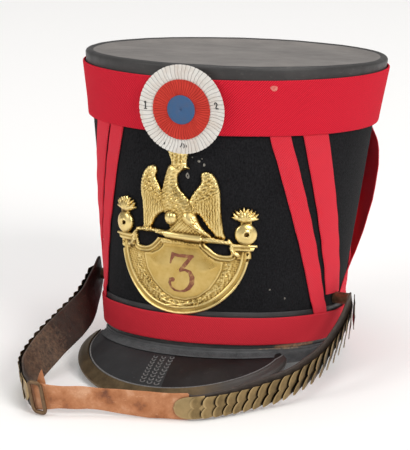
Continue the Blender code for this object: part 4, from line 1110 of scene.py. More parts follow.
def strokeDistance(x, y, points):
    # Distance to a stroke whose half width changes along it; points are x, y, half width
    best = np.full(x.shape, 1e9)
    for (ax, ay, ar), (bx, by, br) in zip(points, points[1:]):
        dx, dy = bx - ax, by - ay
        t = np.clip(((x - ax) * dx + (y - ay) * dy) / max(dx * dx + dy * dy, 1e-12), 0, 1)
        best = np.minimum(best, np.hypot(x - ax - t * dx, y - ay - t * dy) - (ar + (br - ar) * t))
    return best


def ridge(distance, half):
    # A rounded ridge from 1 on its line to 0 at its edges
    return np.sqrt(np.clip(1.0 - (distance / half) ** 2, 0.0, 1.0))


def saw(value):
    # Overlapping steps: a slow rise and a quick fall
    part = value - np.floor(value)
    return np.where(part < 0.85, part / 0.85, (1.0 - part) / 0.15)


def softened(field, reach):
    # A blurred copy of a grid, with the reach in cells
    kernel = np.exp(-0.5 * (np.arange(-3 * reach, 3 * reach + 1) / reach) ** 2)
    kernel /= kernel.sum()
    field = np.apply_along_axis(lambda line: np.convolve(np.pad(line, 3 * reach, "edge"), kernel, "valid"), 0, field)
    return np.apply_along_axis(lambda line: np.convolve(np.pad(line, 3 * reach, "edge"), kernel, "valid"), 1, field)


def sampled(field, row, col):
    row = np.clip(row, 0, field.shape[0] - 1.001)
    col = np.clip(col, 0, field.shape[1] - 1.001)
    i, j = row.astype(int), col.astype(int)
    u, v = row - i, col - j
    return ((1 - u) * ((1 - v) * field[i, j] + v * field[i, j + 1])
            + u * ((1 - v) * field[i + 1, j] + v * field[i + 1, j + 1]))


class Relief:
    # Heights over a flat grid; edge is the distance to the outline, negative on the metal
    def __init__(self, left, right, low, high, cell):
        self.cell = cell
        self.left, self.low = left, low
        across = np.arange(left, right, cell)
        up = np.arange(low, high, cell)
        self.x, self.y = np.meshgrid(across, up)
        self.edge = np.full(self.x.shape, 99.0)
        self.height = np.zeros(self.x.shape)

    def near(self, points, reach=6.0):
        # The part of the grid round these points
        points = np.asarray(points)[:, :2]
        lowX, lowY = points.min(0) - reach
        highX, highY = points.max(0) + reach
        rows = slice(max(int((lowY - self.low) / self.cell), 0), max(int((highY - self.low) / self.cell) + 2, 1))
        cols = slice(max(int((lowX - self.left) / self.cell), 0), max(int((highX - self.left) / self.cell) + 2, 1))
        return rows, cols

    def outline(self, points):
        area = self.near(points)
        distance = np.full(self.x.shape, 50.0)
        distance[area] = outlineDistance(self.x[area], self.y[area], np.asarray(points, float))
        return distance

    def stroke(self, points):
        area = self.near(points, 9.0)
        distance = np.full(self.x.shape, 50.0)
        distance[area] = strokeDistance(self.x[area], self.y[area], points)
        return distance

    def add(self, distance, height):
        self.edge = np.minimum(self.edge, distance)
        self.height = np.where(distance < self.cell, np.maximum(self.height, height), self.height)

    def raiseBy(self, height):
        self.height = self.height + height

    def cut(self, distance):
        self.edge = np.maximum(self.edge, -distance)

    def mesh(self, base=0.0, round_=0.7):
        # Cells on the metal, with their outer corners moved onto the outline
        cell = self.cell
        edge = self.edge
        middle = 0.25 * (edge[:-1, :-1] + edge[1:, :-1] + edge[:-1, 1:] + edge[1:, 1:])
        keep = middle < 0
        for _ in range(3):
            a, b, c, d = keep[:-1, :-1], keep[:-1, 1:], keep[1:, :-1], keep[1:, 1:]
            first = a & d & ~b & ~c
            second = b & c & ~a & ~d
            keep[:-1, 1:] |= first
            keep[:-1, :-1] |= second
        rows, cols = edge.shape
        padded = np.pad(keep, 1)
        around = (padded[:-1, :-1].astype(int) + padded[1:, :-1] + padded[:-1, 1:] + padded[1:, 1:])
        used = around > 0
        border = used & (around < 4)
        gradY, gradX = np.gradient(edge, cell)
        row, col = [a.astype(float) for a in np.indices(edge.shape)]
        size = np.maximum(gradX ** 2 + gradY ** 2, 0.15)
        for _ in range(2):
            now = sampled(edge, row, col)
            moveX = np.clip(-now * gradX / size / cell, -0.62, 0.62)
            moveY = np.clip(-now * gradY / size / cell, -0.62, 0.62)
            col = np.where(border, np.clip(col + moveX, np.indices(edge.shape)[1] - 0.66, np.indices(edge.shape)[1] + 0.66), col)
            row = np.where(border, np.clip(row + moveY, np.indices(edge.shape)[0] - 0.66, np.indices(edge.shape)[0] + 0.66), row)
        high = sampled(self.height, row, col)
        depth = np.clip(-sampled(edge, row, col), 0, round_) / round_
        high = base + (high - base) * (0.55 + 0.45 * np.sqrt(1 - (1 - depth) ** 2))
        x = self.left + col * cell
        y = self.low + row * cell
        index = np.full(edge.shape, -1)
        index[used] = np.arange(used.sum())
        i, j = np.nonzero(keep)
        face = np.stack([index[i, j], index[i, j + 1], index[i + 1, j + 1], index[i + 1, j]], -1)
        count = int(used.sum())
        walls = []
        for sideOf, a, b in ((padded[1:-1, :-2], (0, 0), (1, 0)), (padded[1:-1, 2:], (1, 1), (0, 1)),
                             (padded[:-2, 1:-1], (0, 1), (0, 0)), (padded[2:, 1:-1], (1, 0), (1, 1))):
            i, j = np.nonzero(keep & ~sideOf)
            p, q = index[i + a[0], j + a[1]], index[i + b[0], j + b[1]]
            walls.append(np.stack([p, q, q + count, p + count], -1))
        faces = np.concatenate([face, face[:, ::-1] + count] + walls)
        return x[used], y[used], high[used], used, [tuple(f) for f in faces.tolist()]


def laidOnFelt(x, y, out):
    # From the plate's flat frame to the world, over the felt
    turn = math.radians(plate["lean"])
    x, y = x, y - plate["leanY"]
    flatX = plate["leanX"] + x * math.cos(turn) - y * math.sin(turn)
    flatY = plate["leanY"] + x * math.sin(turn) + y * math.cos(turn)
    roll = math.tan(math.radians(plate["roll"]))
    arc = flatX + plate["shift"] - (flatY - plate["shieldTop"]) * roll
    height = flatY + flatX * roll
    climb = 1.0 - smooth((height - baseStrips["leatherHigh"]) / plate["climb"])
    gap = hat["gap"] + (baseStrips["leather"] + hat["gap"]) * climb
    return hatToWorld(feltPoint(arcTable.angle(arc, height), height, gap + out))


def mirrored(points):
    return [(-p[0], *p[1:]) for p in points]


# Outlines of the eagle, from its rectified proportions: x, y in mm
leftWing = [(-21.8, 134.8), (-26.4, 133.4), (-30.0, 129.0), (-32.0, 123.4), (-32.7, 117.0), (-31.7, 111.0),
            (-30.5, 104.0), (-30.1, 97.0), (-29.8, 90.0), (-29.6, 85.0), (-22.4, 85.0), (-22.2, 88.5), (-20.8, 92.0),
            (-18.8, 96.0), (-15.5, 99.0), (-12.0, 100.8), (-8.0, 104.0), (-9.0, 112.0), (-14.3, 117.2), (-16.5, 121.0),
            (-18.8, 124.6), (-19.4, 127.2), (-18.6, 130.5), (-19.4, 133.4)]
rightWing = [(7.3, 112.0), (9.0, 115.5), (11.6, 119.6), (15.0, 124.4), (15.5, 127.4), (15.0, 130.6), (16.6, 132.8),
             (20.0, 133.5), (23.6, 132.0), (26.6, 128.5), (28.7, 123.2), (29.8, 118.0), (30.4, 110.0), (30.7, 103.0),
             (31.7, 96.0), (32.9, 90.0), (34.0, 85.0), (27.0, 85.6), (25.6, 87.6), (22.2, 91.2), (19.2, 95.0),
             (16.4, 98.6), (14.2, 101.2), (12.0, 101.2), (8.0, 103.0), (5.0, 108.0)]
eagleBody = [(-14.3, 116.8), (-13.5, 119.6), (-12.6, 124.0), (-11.5, 128.6), (-10.1, 133.0), (-9.2, 135.3),
             (-6.6, 136.9), (-2.0, 137.6), (2.2, 137.3), (4.8, 136.4), (6.7, 134.3), (5.2, 134.0), (2.4, 132.8),
             (0.0, 131.3), (-1.4, 129.4), (-1.9, 126.4), (-1.3, 122.0), (0.6, 118.6), (4.0, 115.2), (7.6, 111.6),
             (10.4, 107.0), (12.4, 103.2), (13.0, 101.0), (15.6, 95.4), (19.2, 90.4), (24.4, 86.6), (24.6, 84.2),
             (-10.0, 85.0), (-9.6, 88.0), (-7.2, 90.0), (-7.6, 91.8), (-9.6, 94.2), (-10.9, 97.4), (-11.6, 101.0),
             (-14.6, 108.0)]
leftOpening = [(-34.4, 82.2), (-34.6, 76.0), (-33.2, 74.5), (-28.5, 74.1), (-24.2, 75.3), (-20.6, 77.8), (-17.6, 81.2),
               (-18.2, 82.3)]
rightOpening = [(20.2, 80.8), (23.4, 77.2), (27.4, 74.2), (32.0, 73.0), (37.6, 73.2), (37.8, 75.0), (36.6, 78.6),
                (36.0, 80.7)]
shieldField = [(-11.6, 77.2), (-2.0, 77.3), (8.0, 77.3), (15.4, 77.2), (18.0, 75.0), (21.4, 71.4), (26.2, 68.4),
               (32.2, 67.2), (31.5, 62.0), (28.7, 55.6), (23.3, 47.2), (15.6, 40.8), (6.3, 37.8), (-2.5, 38.4),
               (-10.6, 42.0), (-19.2, 49.4), (-25.3, 58.2), (-28.2, 68.8), (-21.7, 69.3), (-15.9, 72.2), (-12.8, 75.2)]
numeralStrokes = [
    [(-4.2, 71.0, 1.0), (0.0, 70.2, 1.2), (10.6, 70.3, 1.25)],
    [(-4.3, 71.4, 0.9), (-5.6, 64.4, 0.7)], [(-3.6, 70.2, 1.4), (-5.2, 66.4, 0.8)],
    [(10.4, 70.5, 1.1), (5.9, 64.4, 1.5), (2.3, 59.8, 1.2), (1.9, 58.6, 0.7)],
    [(2.1, 58.8, 0.6), (5.6, 60.1, 0.8), (9.2, 58.6, 1.4), (11.0, 54.8, 1.8), (10.8, 50.4, 1.8), (8.8, 46.8, 1.5),
     (5.6, 44.4, 1.0), (2.0, 43.6, 0.7), (-2.0, 44.2, 0.7), (-4.9, 46.4, 0.8), (-6.0, 49.4, 1.0), (-5.2, 51.8, 1.3),
     (-3.6, 52.0, 1.7)],
]


def feathers(x, y, angle, pitch, row):
    # Short overlapping feathers whose tips point down the angle
    turn = math.radians(angle)
    u = x * math.cos(turn) + y * math.sin(turn)
    v = -x * math.sin(turn) + y * math.cos(turn)
    line = np.floor(v / row)
    part = (u / pitch + 0.5 * (line % 2)) % 1.0 - 0.5
    return saw(-(v / row) + 1.6 * part ** 2) * (1.0 - 1.1 * part ** 2)


def plateShield(relief):
    x, y = relief.x, relief.y
    reach = np.hypot(x, y - plate["middle"])
    fromEdge = plate["radius"] - reach
    disc = np.maximum(-fromEdge, y - plate["shieldTop"])
    body = np.maximum(disc, np.abs(x) - 55)
    openings = [relief.outline(curveThrough(points, steps=4)) for points in (leftOpening, rightOpening)]
    toOpening = np.minimum(*openings)
    field = relief.outline(shieldField)

    rimLine = 0.8 * ridge(fromEdge - 1.0, 1.1) + 0.8 * ridge(fromEdge - 5.4, 0.8)
    rimLine += 0.35 * smooth((fromEdge - 0.4) / 0.8) * smooth((5.4 - fromEdge) / 0.8)
    high = plate["sheet"] + rimLine * smooth((83.0 - y) / 2.0)
    high += 0.65 * ridge(toOpening - 0.9, 0.9) + 0.55 * ridge(toOpening - 3.6, 0.65)
    high += 0.25 * smooth((3.8 - toOpening) / 0.6)
    between = smooth((15.5 - np.abs(x - 1.5)) / 1.0)
    high += between * 0.8 * ridge(y - 79.7, 2.3)
    # Leaves scroll along the band between the rim and the field
    around = np.arctan2(x, plate["middle"] - y)
    along = around * 41.0
    inBand = smooth((fromEdge - 6.1) / 0.7) * smooth((field - 0.8) / 0.7) * smooth((toOpening - 4.6) / 0.8)
    inBand *= smooth((81.5 - y) / 1.0)
    band = 0.5 * (fromEdge - 6.0 - np.clip(field, 0, 30))
    spot = np.stack([x, y], -1)
    bent = np.abs(along) / 4.1 + 0.5 * wander(spot, 13.0, 93)
    veins = 0.5 + 0.5 * np.cos(2 * math.pi * (bent + 0.17 * np.abs(band)))
    fine = 0.5 + 0.5 * np.cos(2 * math.pi * (1.9 * bent - 0.34 * np.abs(band) + 0.3 * wander(spot, 4.0, 94)))
    scroll = 0.55 * veins * (0.55 + 0.45 * fine) * smooth((4.2 - np.abs(band)) / 1.4)
    scroll = np.maximum(scroll, 0.5 * ridge(band - 1.1 * np.sin(along / 3.1), 0.6))
    high += inBand * (scroll + 0.22 * wander(spot, 1.9, 91))
    for stroke in ([(-12.0, 36.6, 0.75), (-3.0, 34.0, 0.7), (8.0, 32.7, 0.55)],
                   [(12.5, 36.4, 0.75), (3.0, 34.0, 0.7), (-8.0, 32.6, 0.55)],
                   [(-2.5, 36.4, 0.6), (0.4, 34.2, 0.5), (2.8, 31.8, 0.5)]):
        high = np.maximum(high, 2.0 - 0.9 * np.clip(relief.stroke(stroke) + 0.6, 0, 2.5))
    # The plain field is slightly domed inside a fine raised line
    dome = 0.75 * smooth(-field / 13.0)
    brushed = 0.015 * wander(np.stack([x * 3.0, y * 0.6], -1), 2.4, 92)
    high = np.where(field < 0.2, plate["sheet"] + 0.15 + dome + brushed, high)
    high += 0.22 * ridge(field + 0.2, 0.6) - 0.12 * ridge(field - 0.9, 0.5)
    relief.add(body, high)
    return openings


def plateGrenade(relief, side):
    x, y = relief.x * side, relief.y
    lower = np.maximum(np.abs(x - 47.6) - 8.0 + 0.5 * np.abs(y - 79.4), np.abs(y - 77.9) - 1.5)
    upper = np.maximum(np.abs(x - 48.6) - 8.6, np.abs(y - 80.4) - 1.15)
    shaft = np.maximum(np.abs(x - 47.4) - 5.9, np.abs(y - 74.0) - 3.2)
    relief.add(shaft, plate["sheet"] + 0.75 * ridge(x - 50.0, 2.6) + 0.6 * ridge(x - 44.2, 1.9))
    relief.add(lower, 1.5 + 1.2 * ridge(y - 77.9, 1.7))
    relief.add(upper, 1.8 + 1.3 * ridge(y - 80.4, 1.35))
    reach = np.hypot(x - 48.6, y - 89.1)
    ball = 1.2 + 3.6 * ridge(reach, 8.6) + 0.35 * ridge(reach - 2.5, 0.8)
    ball = np.where(np.hypot(x - 48.6 - 1.9 * min(side, 0), y - 89.1) < 1.5, 2.4, ball)
    relief.add(reach - 8.25, ball)
    foot = np.maximum(np.abs(x - 48.5) - 4.0 - 0.25 * np.abs(y - 97.4), np.abs(y - 97.4) - 1.3)
    relief.add(foot, 1.6 + 0.9 * ridge(y - 97.4, 1.5))
    draw = np.random.default_rng(17)
    tongues = []
    for angle, length, base in ((-80, 10.6, 0.0), (-62, 11.2, 0.0), (-44, 11.0, 0.6), (-26, 11.0, 0.8), (-9, 11.2, 1.0),
                                (8, 10.8, 1.0), (25, 11.0, 0.8), (43, 10.8, 0.6), (61, 11.2, 0.0), (80, 10.4, 0.0)):
        turn = math.radians(angle)
        bend = draw.uniform(-0.9, 0.9)
        points = []
        for t in np.linspace(0, 1, 6):
            out = length * t
            swing = bend * math.sin(t * math.pi * 1.3)
            px = 48.0 + out * math.sin(turn) * 0.96 + swing * math.cos(turn)
            py = 98.3 + base + out * math.cos(turn) * 0.83 - swing * math.sin(turn)
            py += 2.0 * t * t * (abs(math.sin(turn)) ** 3)
            points.append((px, py, 0.55 + 1.35 * math.sin(math.pi * min(0.08 + 0.72 * t, 1.0)) * (1 - t ** 3)))
        tongues.append(points)
    for i, points in enumerate(tongues):
        distance = relief.stroke([(side * px, py, r) for px, py, r in points])
        relief.add(distance, 1.5 + 0.35 * (i % 2) + 1.5 * np.sqrt(np.clip(-distance / 1.6, 0, 1)))
    for angle in (-66, -38, -12, 14, 40, 68):
        turn = math.radians(angle)
        points = [(side * (48.0 + 6.6 * t * math.sin(turn)), 99.0 + 5.8 * t * math.cos(turn), 0.6 + 1.2 * math.sin(math.pi * t))
                  for t in np.linspace(0.0, 0.9, 5)]
        distance = relief.stroke(points)
        relief.add(distance, 2.4 + 1.3 * np.sqrt(np.clip(-distance / 1.5, 0, 1)))
    core = np.hypot((x - 48.0) / 6.4, (y - 100.6) / 3.2)
    relief.add((core - 1.0) * 3.2, 2.0 + 0.7 * ridge(core, 1.0) + 0.35 * np.sin((x - 48.0) * 2.6 + y))
    for spot in ((50.1, 74.3, 0.85), (50.3, 70.0, 1.0)):
        relief.height = np.where(np.hypot(x - spot[0], y - spot[1]) < spot[2], 0.5, relief.height)


def plateEagle(relief):
    x, y = relief.x, relief.y
    spot = np.stack([x, y], -1)
    # The feathers' rows wander, so that no two are alike
    stray = 1.3 * wander(spot, 9.0, 95)
    stray2 = 1.1 * wander(spot, 6.0, 96)
    coarse = 0.5 + 0.5 * wander(spot, 2.3, 97)
    for points, side in ((leftWing, -1), (rightWing, 1)):
        wing = relief.outline(curveThrough(points, steps=5))
        fan = (x - side * (31.2 - 0.05 * (y - 86))) * side
        split = 109.5 + 0.45 * (x * side - 20.0)
        wavy = fan + 0.35 * stray2
        long = saw(wavy / 1.9 + 0.25) * 0.85 + 0.22 * np.sin(2 * math.pi * (y * 0.5 + fan * 0.9 + 0.5 * stray))
        short = feathers(x + stray, y + stray2, side * 24, 2.4, 2.5) * 0.55 + 0.55 * coarse
        change = smooth((y - split - 2.0 * stray) / 5.0)
        detail = long + (short - long) * change
        border = 0.35 * ridge(wing + 1.0, 0.9) * smooth((y - 104) / 8.0)
        relief.add(wing, 1.3 + 1.25 * smooth(-wing / 2.4) + 0.9 * detail * smooth(-wing / 0.9) + border)
    body = relief.outline(curveThrough(eagleBody, steps=5))
    down = feathers(x + stray, y + 0.9 * stray2 + 0.3 * x, 12, 2.1, 2.2) * 0.6 + 0.7 * coarse
    swell = 1.2 + 3.0 * np.sqrt(np.clip(-body / 7.0, 0, 1))
    head = smooth((y - 131.5) / 3.0)
    streak = 0.3 * np.sin(2 * math.pi * ((y - 131) * 0.42 - x * 0.12)) + 0.4 * coarse
    chest = smooth((y - 99.0) / 4.0)
    # Below the breast the feathers run down and to the right, over the bolt
    tail = (x - 2.0) + (y - 98.0) * 0.92 + 0.5 * stray2
    streaks = 0.55 * saw(tail / 1.8) + 0.15 * np.sin(2 * math.pi * (y - x) * 0.35)
    high = swell + 0.55 * down * (1 - head) * chest + 0.3 * head * streak + streaks * (1 - chest)
    relief.add(body, high)
    ball = np.hypot((x + 5.3) / 5.1, (y - 97.6) / 5.5)
    crease = 0.35 * ridge(x + 4.6 + 0.1 * (y - 97.6), 0.7)
    relief.add((ball - 1.0) * 5.1, 2.4 + 4.4 * ridge(ball, 1.0) - crease * smooth((1 - ball) / 0.3))
    # The right thigh runs out into the tail
    thigh = [(6.4, 99.0, 4.8), (8.6, 97.0, 5.2), (12.0, 93.2, 4.0), (16.2, 90.0, 2.6), (21.6, 87.4, 1.2)]
    distance = relief.stroke(thigh)
    axis = (x - 7.0) * 0.60 + (y - 98.0) * 0.80
    along = (x - 7.0) * 0.80 - (y - 98.0) * 0.60
    plume = 0.95 * (saw(axis / 1.7 + 0.3 * stray2) - 0.5) * smooth((along - 0.5) / 3.5)
    relief.add(distance, 2.4 + 3.8 * np.sqrt(np.clip(-distance / 5.0, 0, 1)) + plume * smooth(-distance / 1.0))
    # Brow, eye and beak
    eye = np.hypot(x + 0.4, y - 134.6)
    relief.raiseBy(np.where(body < 0, 0.5 * ridge(eye, 0.8) - 0.4 * ridge(eye - 1.2, 0.5), 0.0))
    brow = relief.stroke([(-4.0, 136.2, 0.4), (0.5, 136.4, 0.5), (3.6, 135.8, 0.3)])
    beak = relief.stroke([(0.8, 132.3, 0.2), (3.2, 133.8, 0.2), (6.0, 134.4, 0.2)])
    relief.raiseBy(0.6 * ridge(np.clip(brow, 0, 9), 0.7) * (body < 0) - 0.7 * ridge(np.clip(beak, 0, 9), 0.5) * (body < 0))

    half = np.interp(y, [136.6, 138.2, 140.5, 143.5, 147.0], [5.9, 5.7, 6.1, 7.1, 8.6])
    crown = np.maximum(np.abs(x + 0.9 + (y - 137) * 0.1) - half, np.maximum(136.8 - y, y - 146.5))
    flute = 0.55 * (0.5 + 0.5 * wander(spot, 1.9, 98)) + 0.25 * np.cos(2 * math.pi * (x + 0.9) / 3.2)
    relief.add(crown, 2.1 + 0.8 * ridge(np.clip((x + 0.9) / half, -1, 1), 1.15) + flute + 0.5 * ridge(y - 137.4, 0.6))


def plateBolt(relief):
    x, y = relief.x, relief.y
    middle = 84.6 - 0.035 * x
    left = relief.stroke([(-34.2, 86.3, 1.5), (-28.0, 87.0, 1.7), (-20.5, 87.0, 1.7), (-13.0, 86.0, 2.2), (-8.0, 85.4, 2.3)])
    right = relief.stroke([(0.0, 84.5, 2.3), (16.6, 84.0, 2.2), (27.0, 83.2, 2.0), (36.2, 82.3, 1.6)])
    rope = 0.65 * saw((x + 1.25 * (y - middle)) / 2.6)
    spot = np.stack([x, y], -1)
    leaf = 0.55 * wander(spot, 3.2, 99)
    relief.add(left, 2.0 + 2.2 * np.sqrt(np.clip(-left / 2.0, 0, 1)) + leaf * smooth((-11.0 - x) / 3.0))
    relief.add(right, 2.0 + 2.2 * np.sqrt(np.clip(-right / 2.2, 0, 1)) + rope * smooth((x - 15.5) / 2.0))
    bar = np.maximum(np.abs(x - 3.2) - 13.2, np.abs(y - 84.7 + 0.045 * x) - 2.5)
    relief.add(bar, 2.6 + 2.3 * ridge(y - 84.7 + 0.045 * x, 2.9))
    for side in (-1, 1):
        # Scrolls join the ends of the bolt to the shield
        scroll = relief.stroke([(side * 36.6, 84.2, 1.3), (side * 38.6, 81.2, 1.7), (side * 38.4, 77.6, 1.7),
                                (side * 40.4, 74.6, 1.9), (side * 43.0, 73.4, 1.6)])
        relief.add(scroll, 1.6 + 1.7 * np.sqrt(np.clip(-scroll / 1.7, 0, 1)) + 0.3 * np.sin((y + x * side) * 2.2))


def makePlate():
    relief = Relief(-62.0, 62.0, 24.0, 149.0, plate["cell"])
    openings = plateShield(relief)
    plateEagle(relief)
    plateBolt(relief)
    plateGrenade(relief, 1)
    plateGrenade(relief, -1)
    for opening in openings:
        relief.cut(opening)
    x, y, high, used, faces = relief.mesh()
    metal = np.where(relief.edge < 0, relief.height, plate["sheet"] * 0.8)
    hollow = metal - softened(metal, 3)
    broad = metal - softened(metal, 9)
    level = 0.55 + 0.80 * np.clip(hollow, -0.5, 0.5) + 0.10 * np.clip(broad, -1, 1)
    level = np.where(relief.height < 0.8, 0.0, level)
    for side in (-1, 1):
        hole = np.hypot(relief.x * side - 48.6 - 1.9 * min(side, 0), relief.y - 89.1)
        level = np.where(hole < 1.55, -0.4, level)
    points = np.concatenate([laidOnFelt(x, y, high), laidOnFelt(x, y, 0.0 * high)])
    marks = np.concatenate([level[used], np.full(len(x), 0.4)])
    makePiece("shieldPlate", (points, faces), finishes["bright"], ["plate"], marks={"relief": marks},
              sharp=60)

    numeral = Relief(-10.0, 15.0, 40.0, 75.0, 0.3)
    for stroke in numeralStrokes:
        numeral.add(strokeDistance(numeral.x, numeral.y, stroke), 1.0)
    x, y, high, used, faces = numeral.mesh()
    row, col = (y - relief.low) / relief.cell, (x - relief.left) / relief.cell
    floor = sampled(relief.height, row, col)
    points = np.concatenate([laidOnFelt(x, y, floor + 0.04 + 0.30 * high), laidOnFelt(x, y, floor - 0.25)])
    makePiece("plateNumeral", (points, faces), finishes["copper"], sharp=60)
    print("plate done")


# Chin strap: one route from stud to stud, as shares of the base, then lengths along it in mm

strap = {
    "leather": 1.8, "front": 19.5, "step": 4.0, "studAngle": 84.0, "studHeight": 35.6, "rightScales": 0.3753,
    "rightBacking": 0.3815, "frontEnd": 0.6180, "leftScales": 0.6450, "buckle": 0.6010,
}
strapRoute = [
    (1.205, -0.084, 1.070), (1.214, -0.210, 0.930), (1.207, -0.361, 0.759), (1.185, -0.559, 0.595),
    (1.141, -0.769, 0.441), (1.058, -0.951, 0.301), (0.946, -1.123, 0.184), (0.824, -1.263, 0.104),
    (0.646, -1.475, 0.039), (0.461, -1.645, 0.015), (0.276, -1.718, 0.011), (-0.006, -1.770, 0.015),
    (-0.384, -1.833, 0.034), (-0.645, -1.917, 0.060), (-0.845, -1.932, 0.074), (-0.985, -1.815, 0.080),
    (-1.090, -1.620, 0.095), (-1.158, -1.429, 0.150), (-1.170, -1.239, 0.256), (-1.146, -1.019, 0.413),
    (-1.110, -0.735, 0.563), (-1.090, -0.483, 0.684), (-1.124, -0.210, 0.848), (-1.147, -0.074, 0.977),
]
# Place as a share of the route, then the lower and upper edge as shares of half the front strap's width
leatherEdges = np.array([
    (0.0, -1.18, 0.67), (0.12, -1.12, 0.51), (0.21, -1.07, 0.62), (0.25, -1.04, 0.82), (0.29, -1.02, 0.92),
    (0.376, -0.98, 0.82), (0.3815, -1.0, 1.0), (0.44, -0.97, 1.0), (0.49, -0.80, 1.0),
    (0.53, -0.66, 1.0), (0.57, -0.78, 1.0), (0.60, -1.0, 1.0), (0.66, -1.13, 0.97), (0.72, -1.44, 1.01),
    (0.86, -1.54, 1.15), (0.93, -1.33, 1.23), (1.0, -1.18, 1.74),
])
scaleEdges = np.array([
    (0.0, -1.49, 0.05), (0.10, -1.46, 0.08), (0.17, -1.41, 0.26), (0.21, -1.38, 0.33), (0.25, -1.23, 0.49),
    (0.29, -1.05, 0.57), (0.33, -0.95, 0.67), (0.3753, -0.88, 0.74), (0.645, -0.82, 0.87), (0.70, -1.03, 1.13),
    (0.80, -1.23, 1.28), (1.0, -1.23, 1.33),
])
# How far the upper edge leans outward, in degrees
strapLean = np.array([
    (0.0, 0.0), (0.60, 0.0), (0.66, 10.0), (0.72, 28.0), (0.78, 38.0), (0.86, 36.0), (0.93, 18.0), (1.0, 0.0),
])


class Route:
    def __init__(self):
        stud = feltPoint(math.radians(strap["studAngle"]), strap["studHeight"])
        level = float(hatToWorld(stud)[2]) / mm
        low = strap["front"] / 2
        knots = np.array([(x * hat["baseSide"], y * hat["baseFront"] + hat["shift"], low + (level - low) * rise)
                          for x, y, rise in strapRoute])
        knots = np.concatenate([[2 * knots[0] - knots[1]], knots, [2 * knots[-1] - knots[-2]]])
        points = []
        for a, b, c, d in zip(knots, knots[1:], knots[2:], knots[3:]):
            for t in np.arange(10) / 10:
                points.append(0.5 * (2 * b + (c - a) * t + (2 * a - 5 * b + 4 * c - d) * t * t
                                     + (3 * b - a - 3 * c + d) * t ** 3))
        self.points = np.array(points + [knots[-2]])
        self.lengths = np.concatenate([[0.0], np.cumsum(np.linalg.norm(np.diff(self.points, axis=0), axis=1))])
        self.total = self.lengths[-1]

    def at(self, length):
        # Past an end, the strap runs straight on
        length = np.asarray(length, float)
        place = np.stack([np.interp(length, self.lengths, self.points[:, i]) for i in range(3)], -1)
        for end, follow, over in ((0, 1, -length), (-1, -2, length - self.total)):
            way = self.points[end] - self.points[follow]
            place = place + np.clip(over, 0.0, None)[..., None] * way / np.linalg.norm(way)
        return place

    def axes(self, length):
        # Directions along the strap, out of its outer face and up its width
        along = self.at(length + strap["step"]) - self.at(length - strap["step"])
        along /= np.linalg.norm(along, axis=-1, keepdims=True)
        outward = np.stack([-along[..., 1], along[..., 0], 0 * along[..., 0]], -1)
        outward /= np.linalg.norm(outward, axis=-1, keepdims=True)
        up = np.cross(along, outward)
        up *= np.sign(up[..., 2:])
        lean = np.radians(np.interp(length / self.total, strapLean[:, 0], strapLean[:, 1]))[..., None]
        return along, outward * np.cos(lean) - up * np.sin(lean), up * np.cos(lean) + outward * np.sin(lean)

    def edges(self, table, length):
        share = length / self.total
        half = strap["front"] / 2
        return half * np.interp(share, table[:, 0], table[:, 1]), half * np.interp(share, table[:, 0], table[:, 2])

    def place(self, length, rise, out):
        # A point this far up the strap's width and this far out from its inner face
        length, rise, out = np.broadcast_arrays(length, rise, out)
        _, outward, up = self.axes(length)
        return (self.at(length) + up * rise[..., None] + outward * out[..., None]) * mm


route = Route()


def strapAcross(count=9):
    return np.concatenate([[-1.0, -0.985, -0.955, -0.90], np.linspace(-0.82, 0.82, count), [0.90, 0.955, 0.985, 1.0]])


def leatherStrip(start, end, seed, wave=0.3, jag=None, step=1.6):
    # A leather strip on the route with rounded edges and small waves; jag bends the starting edge
    across = strapAcross()[None, :]
    share = np.linspace(0.0, 1.0, int((end - start) / step))[:, None]
    length = start + (end - start) * share + 0 * across
    if jag is not None:
        length = length + jag(across) * (1.0 - smooth(share * 9.0))
    spot = np.stack([length, across * 10 + 0 * share], -1)
    leather = strap["leather"]
    bottom, top = route.edges(leatherEdges, length)
    half = 0.5 * (top - bottom) + wave * 0.8 * wander(spot[:, :1], 30.0, seed)
    for past in (8.0 - length, length - route.total + 1.0):
        half = half * np.sqrt(1.0 - 0.45 * np.clip(past / 8.0, 0.0, 1.0) ** 2)
    rise = 0.5 * (top + bottom) + half * across
    near = 1.0 - np.clip((1.0 - np.abs(across)) * half / (0.45 * leather), 0.0, 1.0)
    hem = 0.5 * leather * (1.0 - np.sqrt(1.0 - near ** 2)) * 0.85
    ends = 1.0 - np.clip(np.minimum(share, 1 - share) * (end - start) / (0.8 * leather), 0.0, 1.0)
    hem = np.maximum(hem, 0.35 * leather * ends ** 2)
    ripple = wave * wander(spot, 16.0, seed + 1) * 0.5
    outer = route.place(length, rise, leather - hem + ripple * 0.6)
    inner = route.place(length, rise, hem + ripple * 0.6)
    return thickSheet(outer, inner)


scales = {"count": 20, "liftTop": 4.4, "liftTip": 2.0, "root": 0.9, "lobe": 2.4, "cover": 0.96,
          "sheet": 0.65, "tail": 0.4, "fade": 0.6, "crown": 0.12, "tonguePitches": 1.6}
# From the stud to the chin: how far a scale's lower edge runs ahead of its upper one, in mm, and how
# narrow its root is
scaleSkew = np.array([(0.0, 12.0), (0.33, 16.0), (0.55, 13.0), (0.77, 7.5), (0.88, 3.0), (1.0, 1.0)])
scaleNeck = np.array([(0.0, 0.76), (0.6, 0.80), (0.85, 0.90), (1.0, 0.94)])


